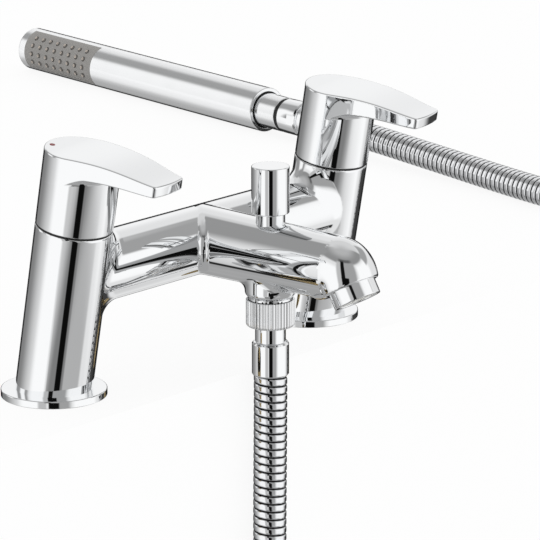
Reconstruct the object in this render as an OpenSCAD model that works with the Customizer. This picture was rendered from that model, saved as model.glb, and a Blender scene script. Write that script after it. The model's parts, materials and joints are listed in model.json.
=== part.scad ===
// Deck-mounted bath shower mixer: two leaning pillars, a bridge with a spout, a pull-up diverter,
// two quarter-turn lever handles, a ribbed metal hose and a stick handset. Millimetres.
// Frame: the origin lies on the deck, midway between the inlets. +Z is up, the spout points to -Y
// and the hot pillar stands at -X.

/* [Deck fixing] */
// Distance between the two inlet pillars
inlet_centres = 180; // [160:1:200]
// Diameter of the round foot flange under each pillar
flange_d = 49; // [46:0.5:60]
// Thickness of the foot flange
flange_t = 3.5; // [2.5:0.1:6]
// Thickness of the gasket let into the flange
gasket_t = 1.2; // [0.8:0.1:2]
// Plain rim of the flange outside the gasket
gasket_rim = 2.5; // [1:0.1:4]
// Outside diameter of the threaded inlet tail
tail_d = 26.4; // [24:0.1:27]
// Waterway through the inlet tail
tail_bore_d = 18; // [12:0.5:19]
// Length of the tail below the deck
tail_l = 52; // [48:1:70]
// Free end of the tail that takes the supply connector
tail_free_l = 18; // [12:1:18]
// Width of the thread relief above the free end
tail_relief_l = 2; // [1:0.5:3]
// Depth of the thread relief
tail_relief_t = 0.8; // [0.4:0.1:1.2]
// Length of the spigot that screws into the pillar
tail_spigot_l = 14; // [8:1:16]
// Diameter of the spigot that screws into the pillar
tail_spigot_d = 22; // [20:0.5:23]
// Thickness of deck that the back nut clamps
deck_t = 18; // [8:1:20]
// Back nut size across its flats
back_nut_af = 36; // [34:1:41]
// Back nut height
back_nut_h = 8; // [6:0.5:8.5]
// Back nut washer diameter
back_washer_d = 42; // [38:1:46]
// Back nut washer thickness
back_washer_t = 2; // [1:0.5:3]

/* [Body casting] */
// Forward lean of the pillars and their handles, in degrees
pillar_lean = 10.3; // [6:0.1:12]
// Pillar diameter, which is also the handle's
pillar_d = 35.6; // [34:0.2:42]
// Pillar length along its axis, from the flange to the handle
pillar_l = 79.8; // [76:0.2:90]
// Bridge tube diameter
bridge_d = 32.2; // [28:0.2:34]
// Height of the bridge axis above the deck
bridge_z = 58; // [56:0.5:60]
// Spout diameter where it leaves the bridge
spout_root_d = 31.8; // [30:0.2:31.8]
// Spout diameter at the ball where the nose begins
spout_end_d = 30.4; // [29:0.2:30.6]
// Distance from the inlet line to that ball's middle
spout_ball_y = 85; // [80:1:86]
// Diameter of the turned-down nose
nose_d = 27.2; // [26:0.2:28]
// Distance from the inlet line to where the nose starts to turn down
spout_straight_y = 90; // [88:1:92]
// Centreline radius of the turned-down nose
nose_r = 14.6; // [14:0.2:18]
// Angle that the nose turns down, in degrees
nose_turn = 60; // [45:1:70]
// Waterway through the bridge
waterway_d = 12; // [10:0.5:13]
// Waterway through the spout
spout_bore_d = 15; // [13.5:0.5:16]
// Waterway up each pillar to its valve seat
pillar_bore_d = 17; // [14:0.5:18]
// Distance from the inlet line to the diverter and shower outlet
diverter_y = 53.4; // [46:0.2:56]
// Diameter of the shower outlet boss
boss_d = 24; // [22.6:0.2:28]
// Height of the boss's lower face
boss_z = 37; // [35:0.5:39]

/* [Valve cartridges] */
// Height of the valve seat along the pillar
seat_h = 46; // [44:0.5:47]
// Cartridge pocket diameter
pocket_d = 26; // [25:0.2:28]
// Seat seal thickness
seal_t = 2.5; // [1.5:0.1:4]
// Ceramic disc diameter
disc_d = 20.6; // [19:0.2:21]
// Ceramic disc thickness
disc_t = 3; // [2:0.1:4]
// Thickness of the spindle's driving flange
spindle_flange_t = 3.5; // [2:0.1:5]
// Spindle diameter
spindle_d = 9; // [7:0.1:10]
// Thickness of the spindle's sealing ring
spindle_ring_t = 2; // [1.4:0.1:2.6]
// Depth of the groove for the sealing ring
spindle_groove_t = 1.2; // [0.8:0.1:1.4]
// Height of the cartridge head above the pillar
cartridge_head_h = 5; // [3:0.2:6]

/* [Lever handles] */
// Gap between pillar and handle
handle_gap = 0.6; // [0.3:0.1:1]
// Height of the handle along its axis
handle_h = 36; // [34:0.5:40]
// Reach of the lever from the handle's axis
lever_reach = 49.2; // [44:0.2:58]
// Width of the lever at its tip
lever_tip_w = 21.6; // [16:0.2:24]
// How far the lever's sides start inside the round cap
lever_side_in = 0.8; // [0.6:0.1:1.6]
// Lever thickness at its tip
lever_tip_t = 5.2; // [4:0.1:7]
// Lever thickness where it leaves the cap
lever_root_t = 8.4; // [7.2:0.1:11]
// Wall of the handle's skirt
skirt_wall = 2.4; // [1.6:0.1:3]
// Depth of the hollow inside the skirt
skirt_hollow_h = 24; // [22:0.5:26]
// Diameter of the hub that takes the spindle
hub_d = 17; // [15:0.5:20]
// Length of the hub below the hollow's ceiling
hub_l = 15; // [12:0.5:16]
// Turn of the hot lever from straight ahead, in degrees
hot_lever_turn = 6.6; // [0:0.1:12]
// Turn of the cold lever from straight ahead, in degrees
cold_lever_turn = 10.1; // [0:0.1:12]
// Diameter of the red hot-water mark
indicator_d = 2.6; // [2:0.1:4]
// Depth of the red hot-water mark
indicator_t = 1; // [0.6:0.1:2]
// Distance of the mark from the handle's rim
indicator_in = 3.4; // [2.4:0.1:6]
// Turn of the mark from the back of the handle, in degrees
indicator_turn = 26; // [10:1:40]
// Grub screw diameter
grub_d = 4; // [3:0.5:5]
// Grub screw length
grub_l = 5; // [4:0.5:6]

/* [Diverter] */
// Knob diameter
knob_d = 17.8; // [15.6:0.2:22]
// Knob height
knob_h = 22.2; // [18:0.2:28]
// Diameter of the neck under the knob
neck_d = 13.8; // [13:0.2:14.6]
// Height of the neck above the spout
neck_h = 4; // [3:0.2:8]
// Gap between neck and knob
knob_gap = 0.3; // [0.2:0.1:0.6]
// Lift of the diverter from bath to shower
diverter_lift = 8; // [5:0.5:8]
// Rod diameter
rod_d = 6; // [4:0.2:7]
// Depth of the rod's socket in the knob
rod_socket_l = 14; // [8:0.5:16]
// Plunger diameter
plunger_d = 14; // [13:0.2:14.6]
// Plunger thickness
plunger_t = 3; // [2:0.2:3.4]
// Plunger seal thickness
plunger_seal_t = 2; // [1:0.2:2.2]
// Clearance round the plunger
plunger_gap = 0.8; // [0.4:0.1:1]
// Height of the plunger's seat below the spout's axis
plunger_seat_drop = 10; // [9:0.2:10.4]

/* [Spout outlet] */
// Outside diameter of the outlet insert
aerator_d = 22.4; // [21:0.2:23]
// How far the outlet insert stands out of the nose
aerator_out = 7; // [4:0.5:9]
// How far the outlet insert screws into the nose
aerator_in = 6; // [4:0.5:8]
// Wall of the outlet insert
aerator_wall = 2; // [1.5:0.1:3]
// Thickness of the flow straightener
straightener_t = 8; // [5:0.5:9]
// Diameter of each hole in the straightener
straightener_hole_d = 2; // [1.4:0.1:2.2]
// Thickness of the outlet washer
aerator_washer_t = 1.4; // [1:0.1:2]

/* [Shower outlet] */
// Outside diameter of the outlet thread
nipple_d = 20.9; // [20.4:0.1:21]
// Length of the outlet thread below the boss
nipple_l = 9.1; // [8:0.1:10]
// Waterway through the outlet
nipple_bore_d = 11; // [9:0.5:12]
// Depth of the nipple's spigot in the boss
nipple_spigot_l = 7.5; // [5:0.5:8]
// Diameter of the nipple's spigot in the boss
nipple_spigot_d = 16.2; // [14:0.2:17]
// Outside diameter of the knurled hose nut
hose_nut_d = 22.8; // [22.6:0.1:25]
// Height of the knurled hose nut
hose_nut_h = 13.1; // [12.6:0.1:16]
// Thickness of the nut's lower lip
hose_nut_lip = 1.5; // [1:0.1:2]
// Depth of the nut's knurl
knurl_t = 0.4; // [0.2:0.1:0.45]
// Number of ridges in the nut's knurl
knurl_count = 44; // [30:1:60]
// Plain band at the top of the nut
nut_band_h = 1.6; // [1:0.1:3]
// Non-return valve length
check_valve_l = 8; // [6:0.5:10]

/* [Hose] */
// Outside diameter of the ribbed metal hose
hose_d = 15.8; // [14.4:0.1:16.4]
// Bore of the hose
hose_bore_d = 10; // [8:0.2:10.4]
// Depth of the grooves between the ribs
rib_t = 0.8; // [0.5:0.1:1]
// Number of ribs
rib_count = 190; // [120:1:200]
// Diameter of the sleeve on each end of the hose
ferrule_d = 17.4; // [16.6:0.1:18.4]
// Length of that sleeve
ferrule_l = 16; // [12:0.5:20]
// Diameter of the tail piece inside each nut
ferrule_neck_d = 14.4; // [13.6:0.1:14.8]
// Length of the tail piece between the outlet nut and its sleeve
ferrule_neck_l = 7.5; // [5:0.5:12]
// Diameter of the flange that each nut holds
ferrule_flange_d = 18.6; // [17.6:0.1:18.8]
// Thickness of the flange that each nut holds
ferrule_flange_t = 1.2; // [0.8:0.1:2]
// Waterway through the end pieces
ferrule_bore_d = 7; // [6:0.2:8]
// Length of the spigot inside the hose
spigot_l = 9; // [6:0.5:12]
// Straight length of hose out of each sleeve
hose_lead_l = 18; // [12:1:24]
// Hose washer thickness
washer_t = 1.7; // [1:0.1:2.4]

/* [Handset] */
// Diameter of the handset tube
handset_d = 26.6; // [26:0.1:30]
// Length of the handset tube
handset_l = 237; // [220:1:250]
// Wall of the handset tube
handset_wall = 1.2; // [0.8:0.1:1.8]
// Diameter of the neck, the nut and the seal at the hose end
handset_neck_d = 20.6; // [20.2:0.1:22]
// Length of the neck outside the tube
handset_neck_l = 18; // [12:0.5:24]
// Recess of the neck's plug inside the tube
plug_in = 3; // [2:0.5:6]
// Length of the neck's plug inside the tube
plug_l = 10; // [6:0.5:14]
// Length of the nut at the handset
cone_nut_l = 15.5; // [12:0.5:18]
// Width of the nut's wrench flats
wrench_af = 19.4; // [18.8:0.1:19.8]
// Length of the nut's wrench flats
wrench_l = 9; // [6:0.5:10]
// Thickness of the black sealing ring behind the nut
seal_ring_t = 3; // [2:0.5:6]
// Length of the spray face
face_l = 70; // [56:1:76]
// Arc of the spray face, in degrees
face_arc = 122; // [90:1:130]
// Distance of the spray face from the tube's end
face_in = 7; // [5:0.5:10]
// Direction that the spray face looks, in degrees round the handset
face_turn = 193; // [180:1:220]
// Rows of nozzles round the face
nozzle_rows = 4; // [3:1:5]
// Nozzles in a row
nozzle_count = 8; // [6:1:9]
// Diameter of a nozzle
nozzle_d = 2.6; // [2:0.1:3]
// How far a nozzle stands out of the face
nozzle_out = 0.7; // [0.4:0.1:1]
// Plain margin of the spray face at each end of a row
nozzle_margin = 8; // [4:0.5:10]
// Plain margin of the spray face at each side, in degrees
nozzle_side_margin = 27; // [16:1:30]
// Share of a nozzle's diameter that is left at its tip
nozzle_taper = 0.7; // [0.5:0.05:0.9]
// Outside diameter of the inner water tube
inner_tube_d = 15; // [12:0.5:16]
// Wall of the inner water tube
inner_tube_wall = 2; // [1:0.5:3]
// Thickness of the water tube's head
water_head_t = 4; // [3:0.5:5]
// Distance from the water tube's head to the spray face
water_head_gap = 2; // [1:0.5:4]
// Thickness of the domed end cap
end_cap_t = 4; // [3:0.5:4]
// Handset's nut, place along X
handset_x = 378.4; // [365:0.1:385]
// Handset's nut, place along Y
handset_y = 247.5; // [240:0.5:260]
// Turn of the handset in plan, in degrees
handset_turn = -9.8; // [-14:0.1:-6]

/* [Clearances] */
// Radial clearance between pieces that are screwed or pushed together
fit = 0.1; // [0.05:0.01:0.15]
// Radial running clearance of a shaft in its bore
run = 0.05; // [0.02:0.01:0.1]

/* [Hidden] */
$fn = 64;
cut = 1;
chrome = [0.82, 0.83, 0.84];
brass = [0.78, 0.62, 0.3];
ceramic = [0.92, 0.92, 0.9];
black_rubber = [0.07, 0.07, 0.07];
grey_rubber = [0.45, 0.46, 0.47];
white_plastic = [0.86, 0.86, 0.84];
hot_red = [0.55, 0.06, 0.06];

// The two sides of the mixer along X
hot = -1;
cold = 1;

// The bridge axis crosses the leaning pillar axes
bridge_y = -(bridge_z - flange_t) * tan(pillar_lean);

// Heights along a pillar's own axis, from the bottom up
fixed_disc_h = seat_h + seal_t;
turning_disc_h = fixed_disc_h + disc_t;
spindle_flange_h = turning_disc_h + disc_t;
spindle_shaft_h = spindle_flange_h + spindle_flange_t;
handle_base_h = pillar_l + handle_gap;
handle_top_h = handle_base_h + handle_h;
hollow_top_h = handle_base_h + skirt_hollow_h;
hub_base_h = hollow_top_h - hub_l;
cartridge_top_h = pillar_l + cartridge_head_h;
spindle_ring_h = (spindle_shaft_h + cartridge_top_h) / 2;
grub_h = hub_base_h + hub_l / 2;

// The lever's sides are arcs through the cap's side and the tip's corner
lever_half = pillar_d / 2 - lever_side_in;
lever_corner_y = sqrt(pow(lever_reach, 2) - pow(lever_tip_w / 2, 2));
lever_drop = lever_half - lever_tip_w / 2;
lever_side_r = (pow(lever_corner_y, 2) + pow(lever_drop, 2)) / (2 * lever_drop);
lever_slope = atan((lever_root_t - lever_tip_t) / (lever_reach - pillar_d / 2));

// The straight spout ends a little inside the ball and is a little thinner there
nose_lap = 1;
nose_step = 0.5;

// The spout's nose ends at this place, facing down and forward
nose_end = [0, -spout_straight_y - nose_r * sin(nose_turn), bridge_z - nose_r * (1 - cos(nose_turn))];

// Heights of the diverter and of the shower outlet
spout_share = (diverter_y + bridge_y) / (spout_ball_y + bridge_y);
spout_top_z = bridge_z + (spout_root_d + (spout_end_d - spout_root_d) * spout_share) / 2;
neck_top_z = spout_top_z + neck_h;
knob_z = neck_top_z + knob_gap;
chamber_z = bridge_z - plunger_seat_drop;
chamber_top_z = chamber_z + plunger_seal_t + plunger_t + diverter_lift + 2 * knob_gap;
plunger_z = chamber_z + knob_gap;
nipple_end_z = boss_z - nipple_l;
flange_top_z = nipple_end_z - washer_t;
nut_lip_z = flange_top_z - ferrule_flange_t;
outlet_ferrule_z = nut_lip_z - hose_nut_lip - ferrule_neck_l;
hose_top_z = outlet_ferrule_z - ferrule_l;

// Places along the handset's own axis, from the nut's outer end towards the spray end
seal_ring_p = cone_nut_l;
neck_p = seal_ring_p + seal_ring_t;
tube_p = neck_p + handset_neck_l;
tube_end_p = tube_p + handset_l;
face_p = tube_end_p - face_in - face_l;
plug_p = tube_p + plug_in;
cap_spigot_l = 0.8 * (face_in - end_cap_t);
hand_lip_p = hose_nut_lip;
hand_washer_p = hand_lip_p + ferrule_flange_t;
thread_p = hand_washer_p + washer_t;
thread_d = ferrule_flange_d - 4 * fit;
nozzle_pitch = (face_l - 2 * nozzle_margin) / (nozzle_count - 1);
nozzle_step = (face_arc - 2 * nozzle_side_margin) / (nozzle_rows - 1);

// The hose hangs from the outlet in one wide bight, comes up to the deck's edge and lies on the deck
handset_end = handset_point(-ferrule_l);
handset_lead = handset_point(-ferrule_l - hose_lead_l);
hose_route = [
  [0, -diverter_y, hose_top_z], [0, -diverter_y, hose_top_z - hose_lead_l], [0, -53, -80], [1, -53, -130],
  [4, -54, -190], [10, -56, -255], [24, -59, -322], [48, -63, -386], [87, -69, -437], [136, -76, -466],
  [189, -83, -472], [240, -90, -455], [286, -97, -417], [319, -102, -361], [339, -106, -296],
  [348, -109, -229], [351, -110, -164], [352, -110, -110], [352, -110, -62], [351, -105, -35],
  [350, -90, -12.5], [347, -67, 2.5], [343, -40, 8], [340, -10, 8], [340, 20, 8], [344.5, 48, 8],
  [350.5, 75, 8.1], [356.5, 104, 8.8], [362, 134, 9.9], [366.5, 162, 11.1], [370, 188, 12.4],
  handset_lead, handset_end
];
ring_sides = 8;
spigot_d = hose_bore_d * cos(180 / ring_sides) - 2 * fit;
hose_rings = 2 * rib_count;
bore_rings = 76;

function handset_point(p) = [
  handset_x - sin(handset_turn) * p,
  handset_y + cos(handset_turn) * p,
  handset_d / 2
];

// A point of a smooth curve through the route, at place s counted in route points
function unit(v) = v / norm(v);
function route_point(i) = hose_route[max(0, min(len(hose_route) - 1, i))];
function blend(a, b, c, d, t) = 0.5 * (2 * b + (c - a) * t + (2 * a - 5 * b + 4 * c - d) * t * t
  + (3 * b - a - 3 * c + d) * t * t * t);
function curve(s) = let (i = min(floor(s), len(hose_route) - 2))
  blend(route_point(i - 1), route_point(i), route_point(i + 1), route_point(i + 2), s - i);

// Even steps along the curve, so that the ribs have one pitch
fine_steps = 16 * (len(hose_route) - 1);
fine_points = [for (k = [0:fine_steps]) curve(k / 16)];
fine_lengths = [for (k = 0, run_l = 0; k <= fine_steps; run_l = run_l
  + (k < fine_steps ? norm(fine_points[k + 1] - fine_points[k]) : 0), k = k + 1) run_l];
hose_length = fine_lengths[fine_steps];
function fine_at(target) = lookup(target, [for (k = [0:fine_steps]) [fine_lengths[k], k / 16]]);
function even_places(n) = [for (k = [0:n]) fine_at(hose_length * k / n)];
function tangent(s, last) = s <= 0.001 ? unit(hose_route[1] - hose_route[0])
  : s >= last - 0.001 ? unit(hose_route[last] - hose_route[last - 1])
  : unit(curve(s + 0.001) - curve(s - 0.001));
function ring(s, r) = let (
    t = tangent(s, len(hose_route) - 1),
    side = unit(cross(t, [1, 1, 1])),
    up = cross(side, t),
    c = curve(s)
  ) [for (k = [0:ring_sides - 1])
    let (a = 360 * k / ring_sides) c + r * (cos(a) * side + sin(a) * up)];

module pillar_frame(side) {
  translate([side * inlet_centres / 2, 0, flange_t])
    rotate([pillar_lean, 0, 0])
      children();
}

module inlet_frame(side) {
  translate([side * inlet_centres / 2, 0, 0])
    children();
}

module handle_frame(side) {
  pillar_frame(side)
    rotate([0, 0, side == hot ? hot_lever_turn : cold_lever_turn])
      children();
}

module diverter_frame() {
  translate([0, -diverter_y, 0])
    children();
}

module nose_frame() {
  translate(nose_end)
    rotate([90 + nose_turn, 0, 0])
      children();
}

module handset_frame() {
  translate([handset_x, handset_y, handset_d / 2])
    rotate([0, 0, handset_turn])
      rotate([-90, 0, 0])
        children();
}

module tube(outer_d, bore_d, length) {
  difference() {
    cylinder(d = outer_d, h = length);
    translate([0, 0, -cut])
      cylinder(d = bore_d, h = length + 2 * cut);
  }
}

module nose_elbow(d) {
  translate([0, -spout_straight_y, bridge_z - nose_r])
    rotate([0, -90, 0])
      rotate([0, 0, -nose_turn])
        rotate_extrude(angle = nose_turn)
          translate([nose_r, 0])
            circle(d = d);
}

module pillar(side) {
  intersection() {
    pillar_frame(side)
      translate([0, 0, -pillar_d / 2])
        cylinder(d = pillar_d, h = pillar_l + pillar_d / 2);
    translate([side * inlet_centres / 2 - pillar_d, -2 * pillar_d, flange_t])
      cube([2 * pillar_d, 4 * pillar_d, 2 * pillar_l]);
  }
}

module body_skin() {
  pillar(hot);
  pillar(cold);
  translate([-inlet_centres / 2, bridge_y, bridge_z])
    rotate([0, 90, 0])
      cylinder(d = bridge_d, h = inlet_centres);
  translate([0, bridge_y, bridge_z])
    rotate([90, 0, 0])
      cylinder(d1 = spout_root_d, d2 = spout_end_d - nose_step, h = spout_ball_y + bridge_y + nose_lap);
  translate([0, -spout_ball_y, bridge_z])
    sphere(d = spout_end_d);
  nose_elbow(nose_d);
  diverter_frame()
    translate([0, 0, boss_z])
      cylinder(d = boss_d, h = bridge_z - boss_z);
}

module pillar_waterway(side) {
  inlet_frame(side)
    translate([0, 0, flange_t - cut])
      cylinder(d = tail_spigot_d + 2 * fit, h = tail_spigot_l + cut + fit);
  pillar_frame(side)
    translate([0, 0, tail_spigot_l / 2])
      cylinder(d = pillar_bore_d, h = seat_h - tail_spigot_l / 2);
  pillar_frame(side)
    translate([0, 0, seat_h])
      cylinder(d = pocket_d, h = pillar_l);
}

module body_casting() {
  color(chrome)
    difference() {
      body_skin();
      pillar_waterway(hot);
      pillar_waterway(cold);
      translate([-inlet_centres / 2, bridge_y, bridge_z])
        rotate([0, 90, 0])
          cylinder(d = waterway_d, h = inlet_centres);
      translate([0, bridge_y, bridge_z])
        rotate([90, 0, 0])
          cylinder(d = spout_bore_d, h = spout_straight_y + bridge_y + nose_lap);
      nose_elbow(spout_bore_d + nose_step);
      nose_frame()
        translate([0, 0, -aerator_in - aerator_washer_t])
          cylinder(d = aerator_d + 2 * fit, h = aerator_in + aerator_washer_t + 4 * cut);
      diverter_frame()
        translate([0, 0, chamber_top_z])
          cylinder(d = neck_d + 2 * fit, h = bridge_d);
      diverter_frame()
        translate([0, 0, chamber_z])
          cylinder(d = plunger_d + 2 * plunger_gap, h = chamber_top_z - chamber_z);
      diverter_frame()
        translate([0, 0, boss_z - cut])
          cylinder(d = nipple_spigot_d + 2 * fit, h = nipple_spigot_l + cut + fit);
      diverter_frame()
        translate([0, 0, boss_z])
          cylinder(d = nipple_bore_d, h = bridge_z - boss_z);
    }
}

module flange(side) {
  color(chrome)
    inlet_frame(side)
      difference() {
        cylinder(d = flange_d, h = flange_t);
        translate([0, 0, -cut])
          cylinder(d = tail_d + 2 * fit, h = flange_t + 2 * cut);
        translate([0, 0, -cut])
          cylinder(d = flange_d - 2 * gasket_rim, h = gasket_t + cut);
      }
}

module gasket(side) {
  color(black_rubber)
    inlet_frame(side)
      tube(flange_d - 2 * gasket_rim - 2 * fit, tail_d + 2 * fit, gasket_t);
}

module tail(side) {
  color(brass)
    inlet_frame(side)
      difference() {
        union() {
          translate([0, 0, -tail_l])
            cylinder(d = tail_d, h = tail_free_l);
          translate([0, 0, -tail_l + tail_free_l])
            cylinder(d = tail_d - 2 * tail_relief_t, h = tail_relief_l);
          translate([0, 0, -tail_l + tail_free_l + tail_relief_l])
            cylinder(d = tail_d, h = tail_l - tail_free_l - tail_relief_l + flange_t);
          translate([0, 0, flange_t])
            cylinder(d = tail_spigot_d, h = tail_spigot_l);
        }
        translate([0, 0, -tail_l - cut])
          cylinder(d = tail_bore_d, h = tail_l + flange_t + tail_spigot_l + 2 * cut);
      }
}

module back_washer(side) {
  color(black_rubber)
    inlet_frame(side)
      translate([0, 0, -deck_t - back_washer_t])
        tube(back_washer_d, tail_d + 2 * fit, back_washer_t);
}

module back_nut(side) {
  color(brass)
    inlet_frame(side)
      translate([0, 0, -deck_t - back_washer_t - back_nut_h])
        difference() {
          cylinder(d = back_nut_af / cos(30), h = back_nut_h, $fn = 6);
          translate([0, 0, -cut])
            cylinder(d = tail_d + 2 * fit, h = back_nut_h + 2 * cut);
        }
}

module cartridge(side) {
  chamber_d = disc_d + 6 * fit;
  body_d = pocket_d - 2 * fit;
  color(brass)
    pillar_frame(side)
      difference() {
        union() {
          translate([0, 0, fixed_disc_h])
            cylinder(d = body_d, h = pillar_l - fixed_disc_h);
          translate([0, 0, pillar_l])
            cylinder(d = disc_d, h = cartridge_head_h);
        }
        translate([0, 0, fixed_disc_h - cut])
          cylinder(d = chamber_d, h = spindle_shaft_h - fixed_disc_h + cut + fit);
        cylinder(d = spindle_d + 2 * run, h = 2 * pillar_l);
        for (turn = [0, 180])
          rotate([0, 0, turn])
            translate([0, -chamber_d / 4, turning_disc_h - disc_t / 2])
              cube([pocket_d, chamber_d / 2, disc_t + spindle_flange_t]);
      }
}

module seat_seal(side) {
  color(black_rubber)
    pillar_frame(side)
      translate([0, 0, seat_h])
        tube(pocket_d - 4 * fit, pillar_bore_d, seal_t);
}

module ported_disc(side, h) {
  color(ceramic)
    pillar_frame(side)
      translate([0, 0, h])
        difference() {
          cylinder(d = disc_d, h = disc_t);
          for (x = [-1, 1])
            translate([x * disc_d / 4, 0, -cut])
              cylinder(d = disc_d / 3, h = disc_t + 2 * cut);
        }
}

module spindle(side) {
  color(brass)
    pillar_frame(side)
      difference() {
        union() {
          translate([0, 0, spindle_flange_h])
            cylinder(d = disc_d, h = spindle_flange_t);
          translate([0, 0, spindle_shaft_h])
            cylinder(d = spindle_d, h = hollow_top_h - spindle_shaft_h);
        }
        translate([0, 0, spindle_ring_h])
          tube(spindle_d + 2 * cut, spindle_d - 2 * spindle_groove_t, spindle_ring_t + 2 * fit);
      }
}

module spindle_ring(side) {
  color(black_rubber)
    pillar_frame(side)
      translate([0, 0, spindle_ring_h + fit])
        tube(spindle_d, spindle_d - 2 * spindle_groove_t + 2 * fit, spindle_ring_t);
}

module lever_side(x) {
  translate([x * (lever_half - lever_side_r), 0, handle_top_h - lever_root_t - cut])
    cylinder(r = lever_side_r, h = lever_root_t + 2 * cut, $fn = 256);
}

module lever_blade() {
  intersection() {
    translate([0, 0, handle_top_h - lever_root_t])
      cylinder(r = lever_reach, h = lever_root_t, $fn = 128);
    lever_side(-1);
    lever_side(1);
    translate([-pillar_d, -2 * lever_reach, handle_top_h - 2 * lever_root_t])
      cube([2 * pillar_d, 2 * lever_reach, 3 * lever_root_t]);
  }
}

module lever_underside() {
  translate([0, -pillar_d / 2, handle_top_h - lever_root_t])
    rotate([-lever_slope, 0, 0])
      translate([-pillar_d, -2 * lever_reach, -lever_reach])
        cube([2 * pillar_d, 2 * lever_reach, lever_reach]);
}

module handle(side) {
  color(chrome)
    handle_frame(side)
      difference() {
        union() {
          translate([0, 0, handle_base_h])
            cylinder(d = pillar_d, h = handle_h);
          difference() {
            lever_blade();
            lever_underside();
          }
        }
        translate([0, 0, handle_base_h - cut])
          cylinder(d = pillar_d - 2 * skirt_wall, h = hub_base_h - handle_base_h + cut);
        translate([0, 0, hub_base_h])
          tube(pillar_d - 2 * skirt_wall, hub_d, hub_l);
        translate([0, 0, hub_base_h - cut])
          cylinder(d = spindle_d + 2 * run, h = hub_l + cut);
        translate([0, 0, grub_h])
          rotate([-90, 0, 0])
            cylinder(d = grub_d + 2 * fit, h = pillar_d);
        if (side == hot)
          indicator_frame()
            cylinder(d = indicator_d + 2 * fit, h = indicator_t + cut);
      }
}

module indicator_frame() {
  rotate([0, 0, indicator_turn])
    translate([0, pillar_d / 2 - indicator_in, handle_top_h - indicator_t])
      children();
}

module indicator() {
  color(hot_red)
    handle_frame(hot)
      indicator_frame()
        cylinder(d = indicator_d, h = indicator_t);
}

module grub_screw(side) {
  color(brass)
    handle_frame(side)
      translate([0, spindle_d / 2 + 2 * fit, grub_h])
        rotate([-90, 0, 0])
          difference() {
            cylinder(d = grub_d, h = grub_l);
            translate([0, 0, grub_l / 2])
              cylinder(d = grub_d / 2 / cos(30), h = grub_l, $fn = 6);
          }
}

module diverter_bush() {
  color(chrome)
    diverter_frame()
      translate([0, 0, chamber_top_z])
        tube(neck_d, rod_d + 2 * run, neck_top_z - chamber_top_z);
}

module diverter_rod() {
  color(brass)
    diverter_frame()
      translate([0, 0, plunger_z])
        cylinder(d = rod_d, h = knob_z + rod_socket_l - plunger_z);
}

module diverter_knob() {
  color(chrome)
    diverter_frame()
      translate([0, 0, knob_z])
        difference() {
          cylinder(d = knob_d, h = knob_h);
          translate([0, 0, -cut])
            cylinder(d = rod_d + 2 * fit, h = rod_socket_l + cut);
        }
}

module diverter_plunger() {
  color(brass)
    diverter_frame()
      translate([0, 0, plunger_z + plunger_seal_t])
        tube(plunger_d, rod_d + 2 * fit, plunger_t);
}

module diverter_seal() {
  color(black_rubber)
    diverter_frame()
      translate([0, 0, plunger_z])
        tube(plunger_d, rod_d + 2 * fit, plunger_seal_t);
}

module aerator_housing() {
  color(chrome)
    nose_frame()
      translate([0, 0, -aerator_in])
        tube(aerator_d, aerator_d - 2 * aerator_wall, aerator_in + aerator_out);
}

module aerator_straightener() {
  insert_d = aerator_d - 2 * aerator_wall - 2 * fit;
  color(white_plastic)
    nose_frame()
      translate([0, 0, aerator_out - straightener_t - cut])
        difference() {
          cylinder(d = insert_d, h = straightener_t);
          for (orbit = [1, 2])
            for (k = [0:6 * orbit - 1])
              rotate([0, 0, 60 * k / orbit])
                translate([orbit * insert_d / 5.2, 0, -cut])
                  cylinder(d = straightener_hole_d, h = straightener_t + 2 * cut);
          translate([0, 0, -cut])
            cylinder(d = straightener_hole_d, h = straightener_t + 2 * cut);
        }
}

module aerator_washer() {
  color(black_rubber)
    nose_frame()
      translate([0, 0, -aerator_in - aerator_washer_t])
        tube(aerator_d - 2 * fit, aerator_d - 2 * aerator_wall, aerator_washer_t);
}

module shower_nipple() {
  color(brass)
    diverter_frame()
      difference() {
        union() {
          translate([0, 0, nipple_end_z])
            cylinder(d = nipple_d, h = nipple_l);
          translate([0, 0, boss_z])
            cylinder(d = nipple_spigot_d, h = nipple_spigot_l);
        }
        translate([0, 0, nipple_end_z - cut])
          cylinder(d = nipple_bore_d, h = nipple_l + nipple_spigot_l + 2 * cut);
      }
}

module check_valve() {
  color(white_plastic)
    diverter_frame()
      translate([0, 0, nipple_end_z])
        tube(nipple_bore_d - 2 * fit, nipple_bore_d / 2, check_valve_l);
}

module outlet_washer() {
  color(black_rubber)
    diverter_frame()
      translate([0, 0, flange_top_z])
        tube(ferrule_flange_d, ferrule_bore_d, washer_t);
}

module knurled(d, length) {
  linear_extrude(height = length)
    polygon([for (k = [0:2 * knurl_count - 1])
      let (r = d / 2 - (k % 2) * knurl_t) r * [cos(180 * k / knurl_count), sin(180 * k / knurl_count)]]);
}

module outlet_nut() {
  color(chrome)
    diverter_frame()
      translate([0, 0, nut_lip_z - hose_nut_lip])
        difference() {
          union() {
            knurled(hose_nut_d - 2 * fit, hose_nut_h - nut_band_h);
            translate([0, 0, hose_nut_h - nut_band_h])
              cylinder(d = hose_nut_d, h = nut_band_h);
          }
          translate([0, 0, hose_nut_lip])
            cylinder(d = nipple_d + 2 * fit, h = hose_nut_h);
          translate([0, 0, -cut])
            cylinder(d = ferrule_neck_d + 2 * fit, h = hose_nut_h);
        }
}

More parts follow.
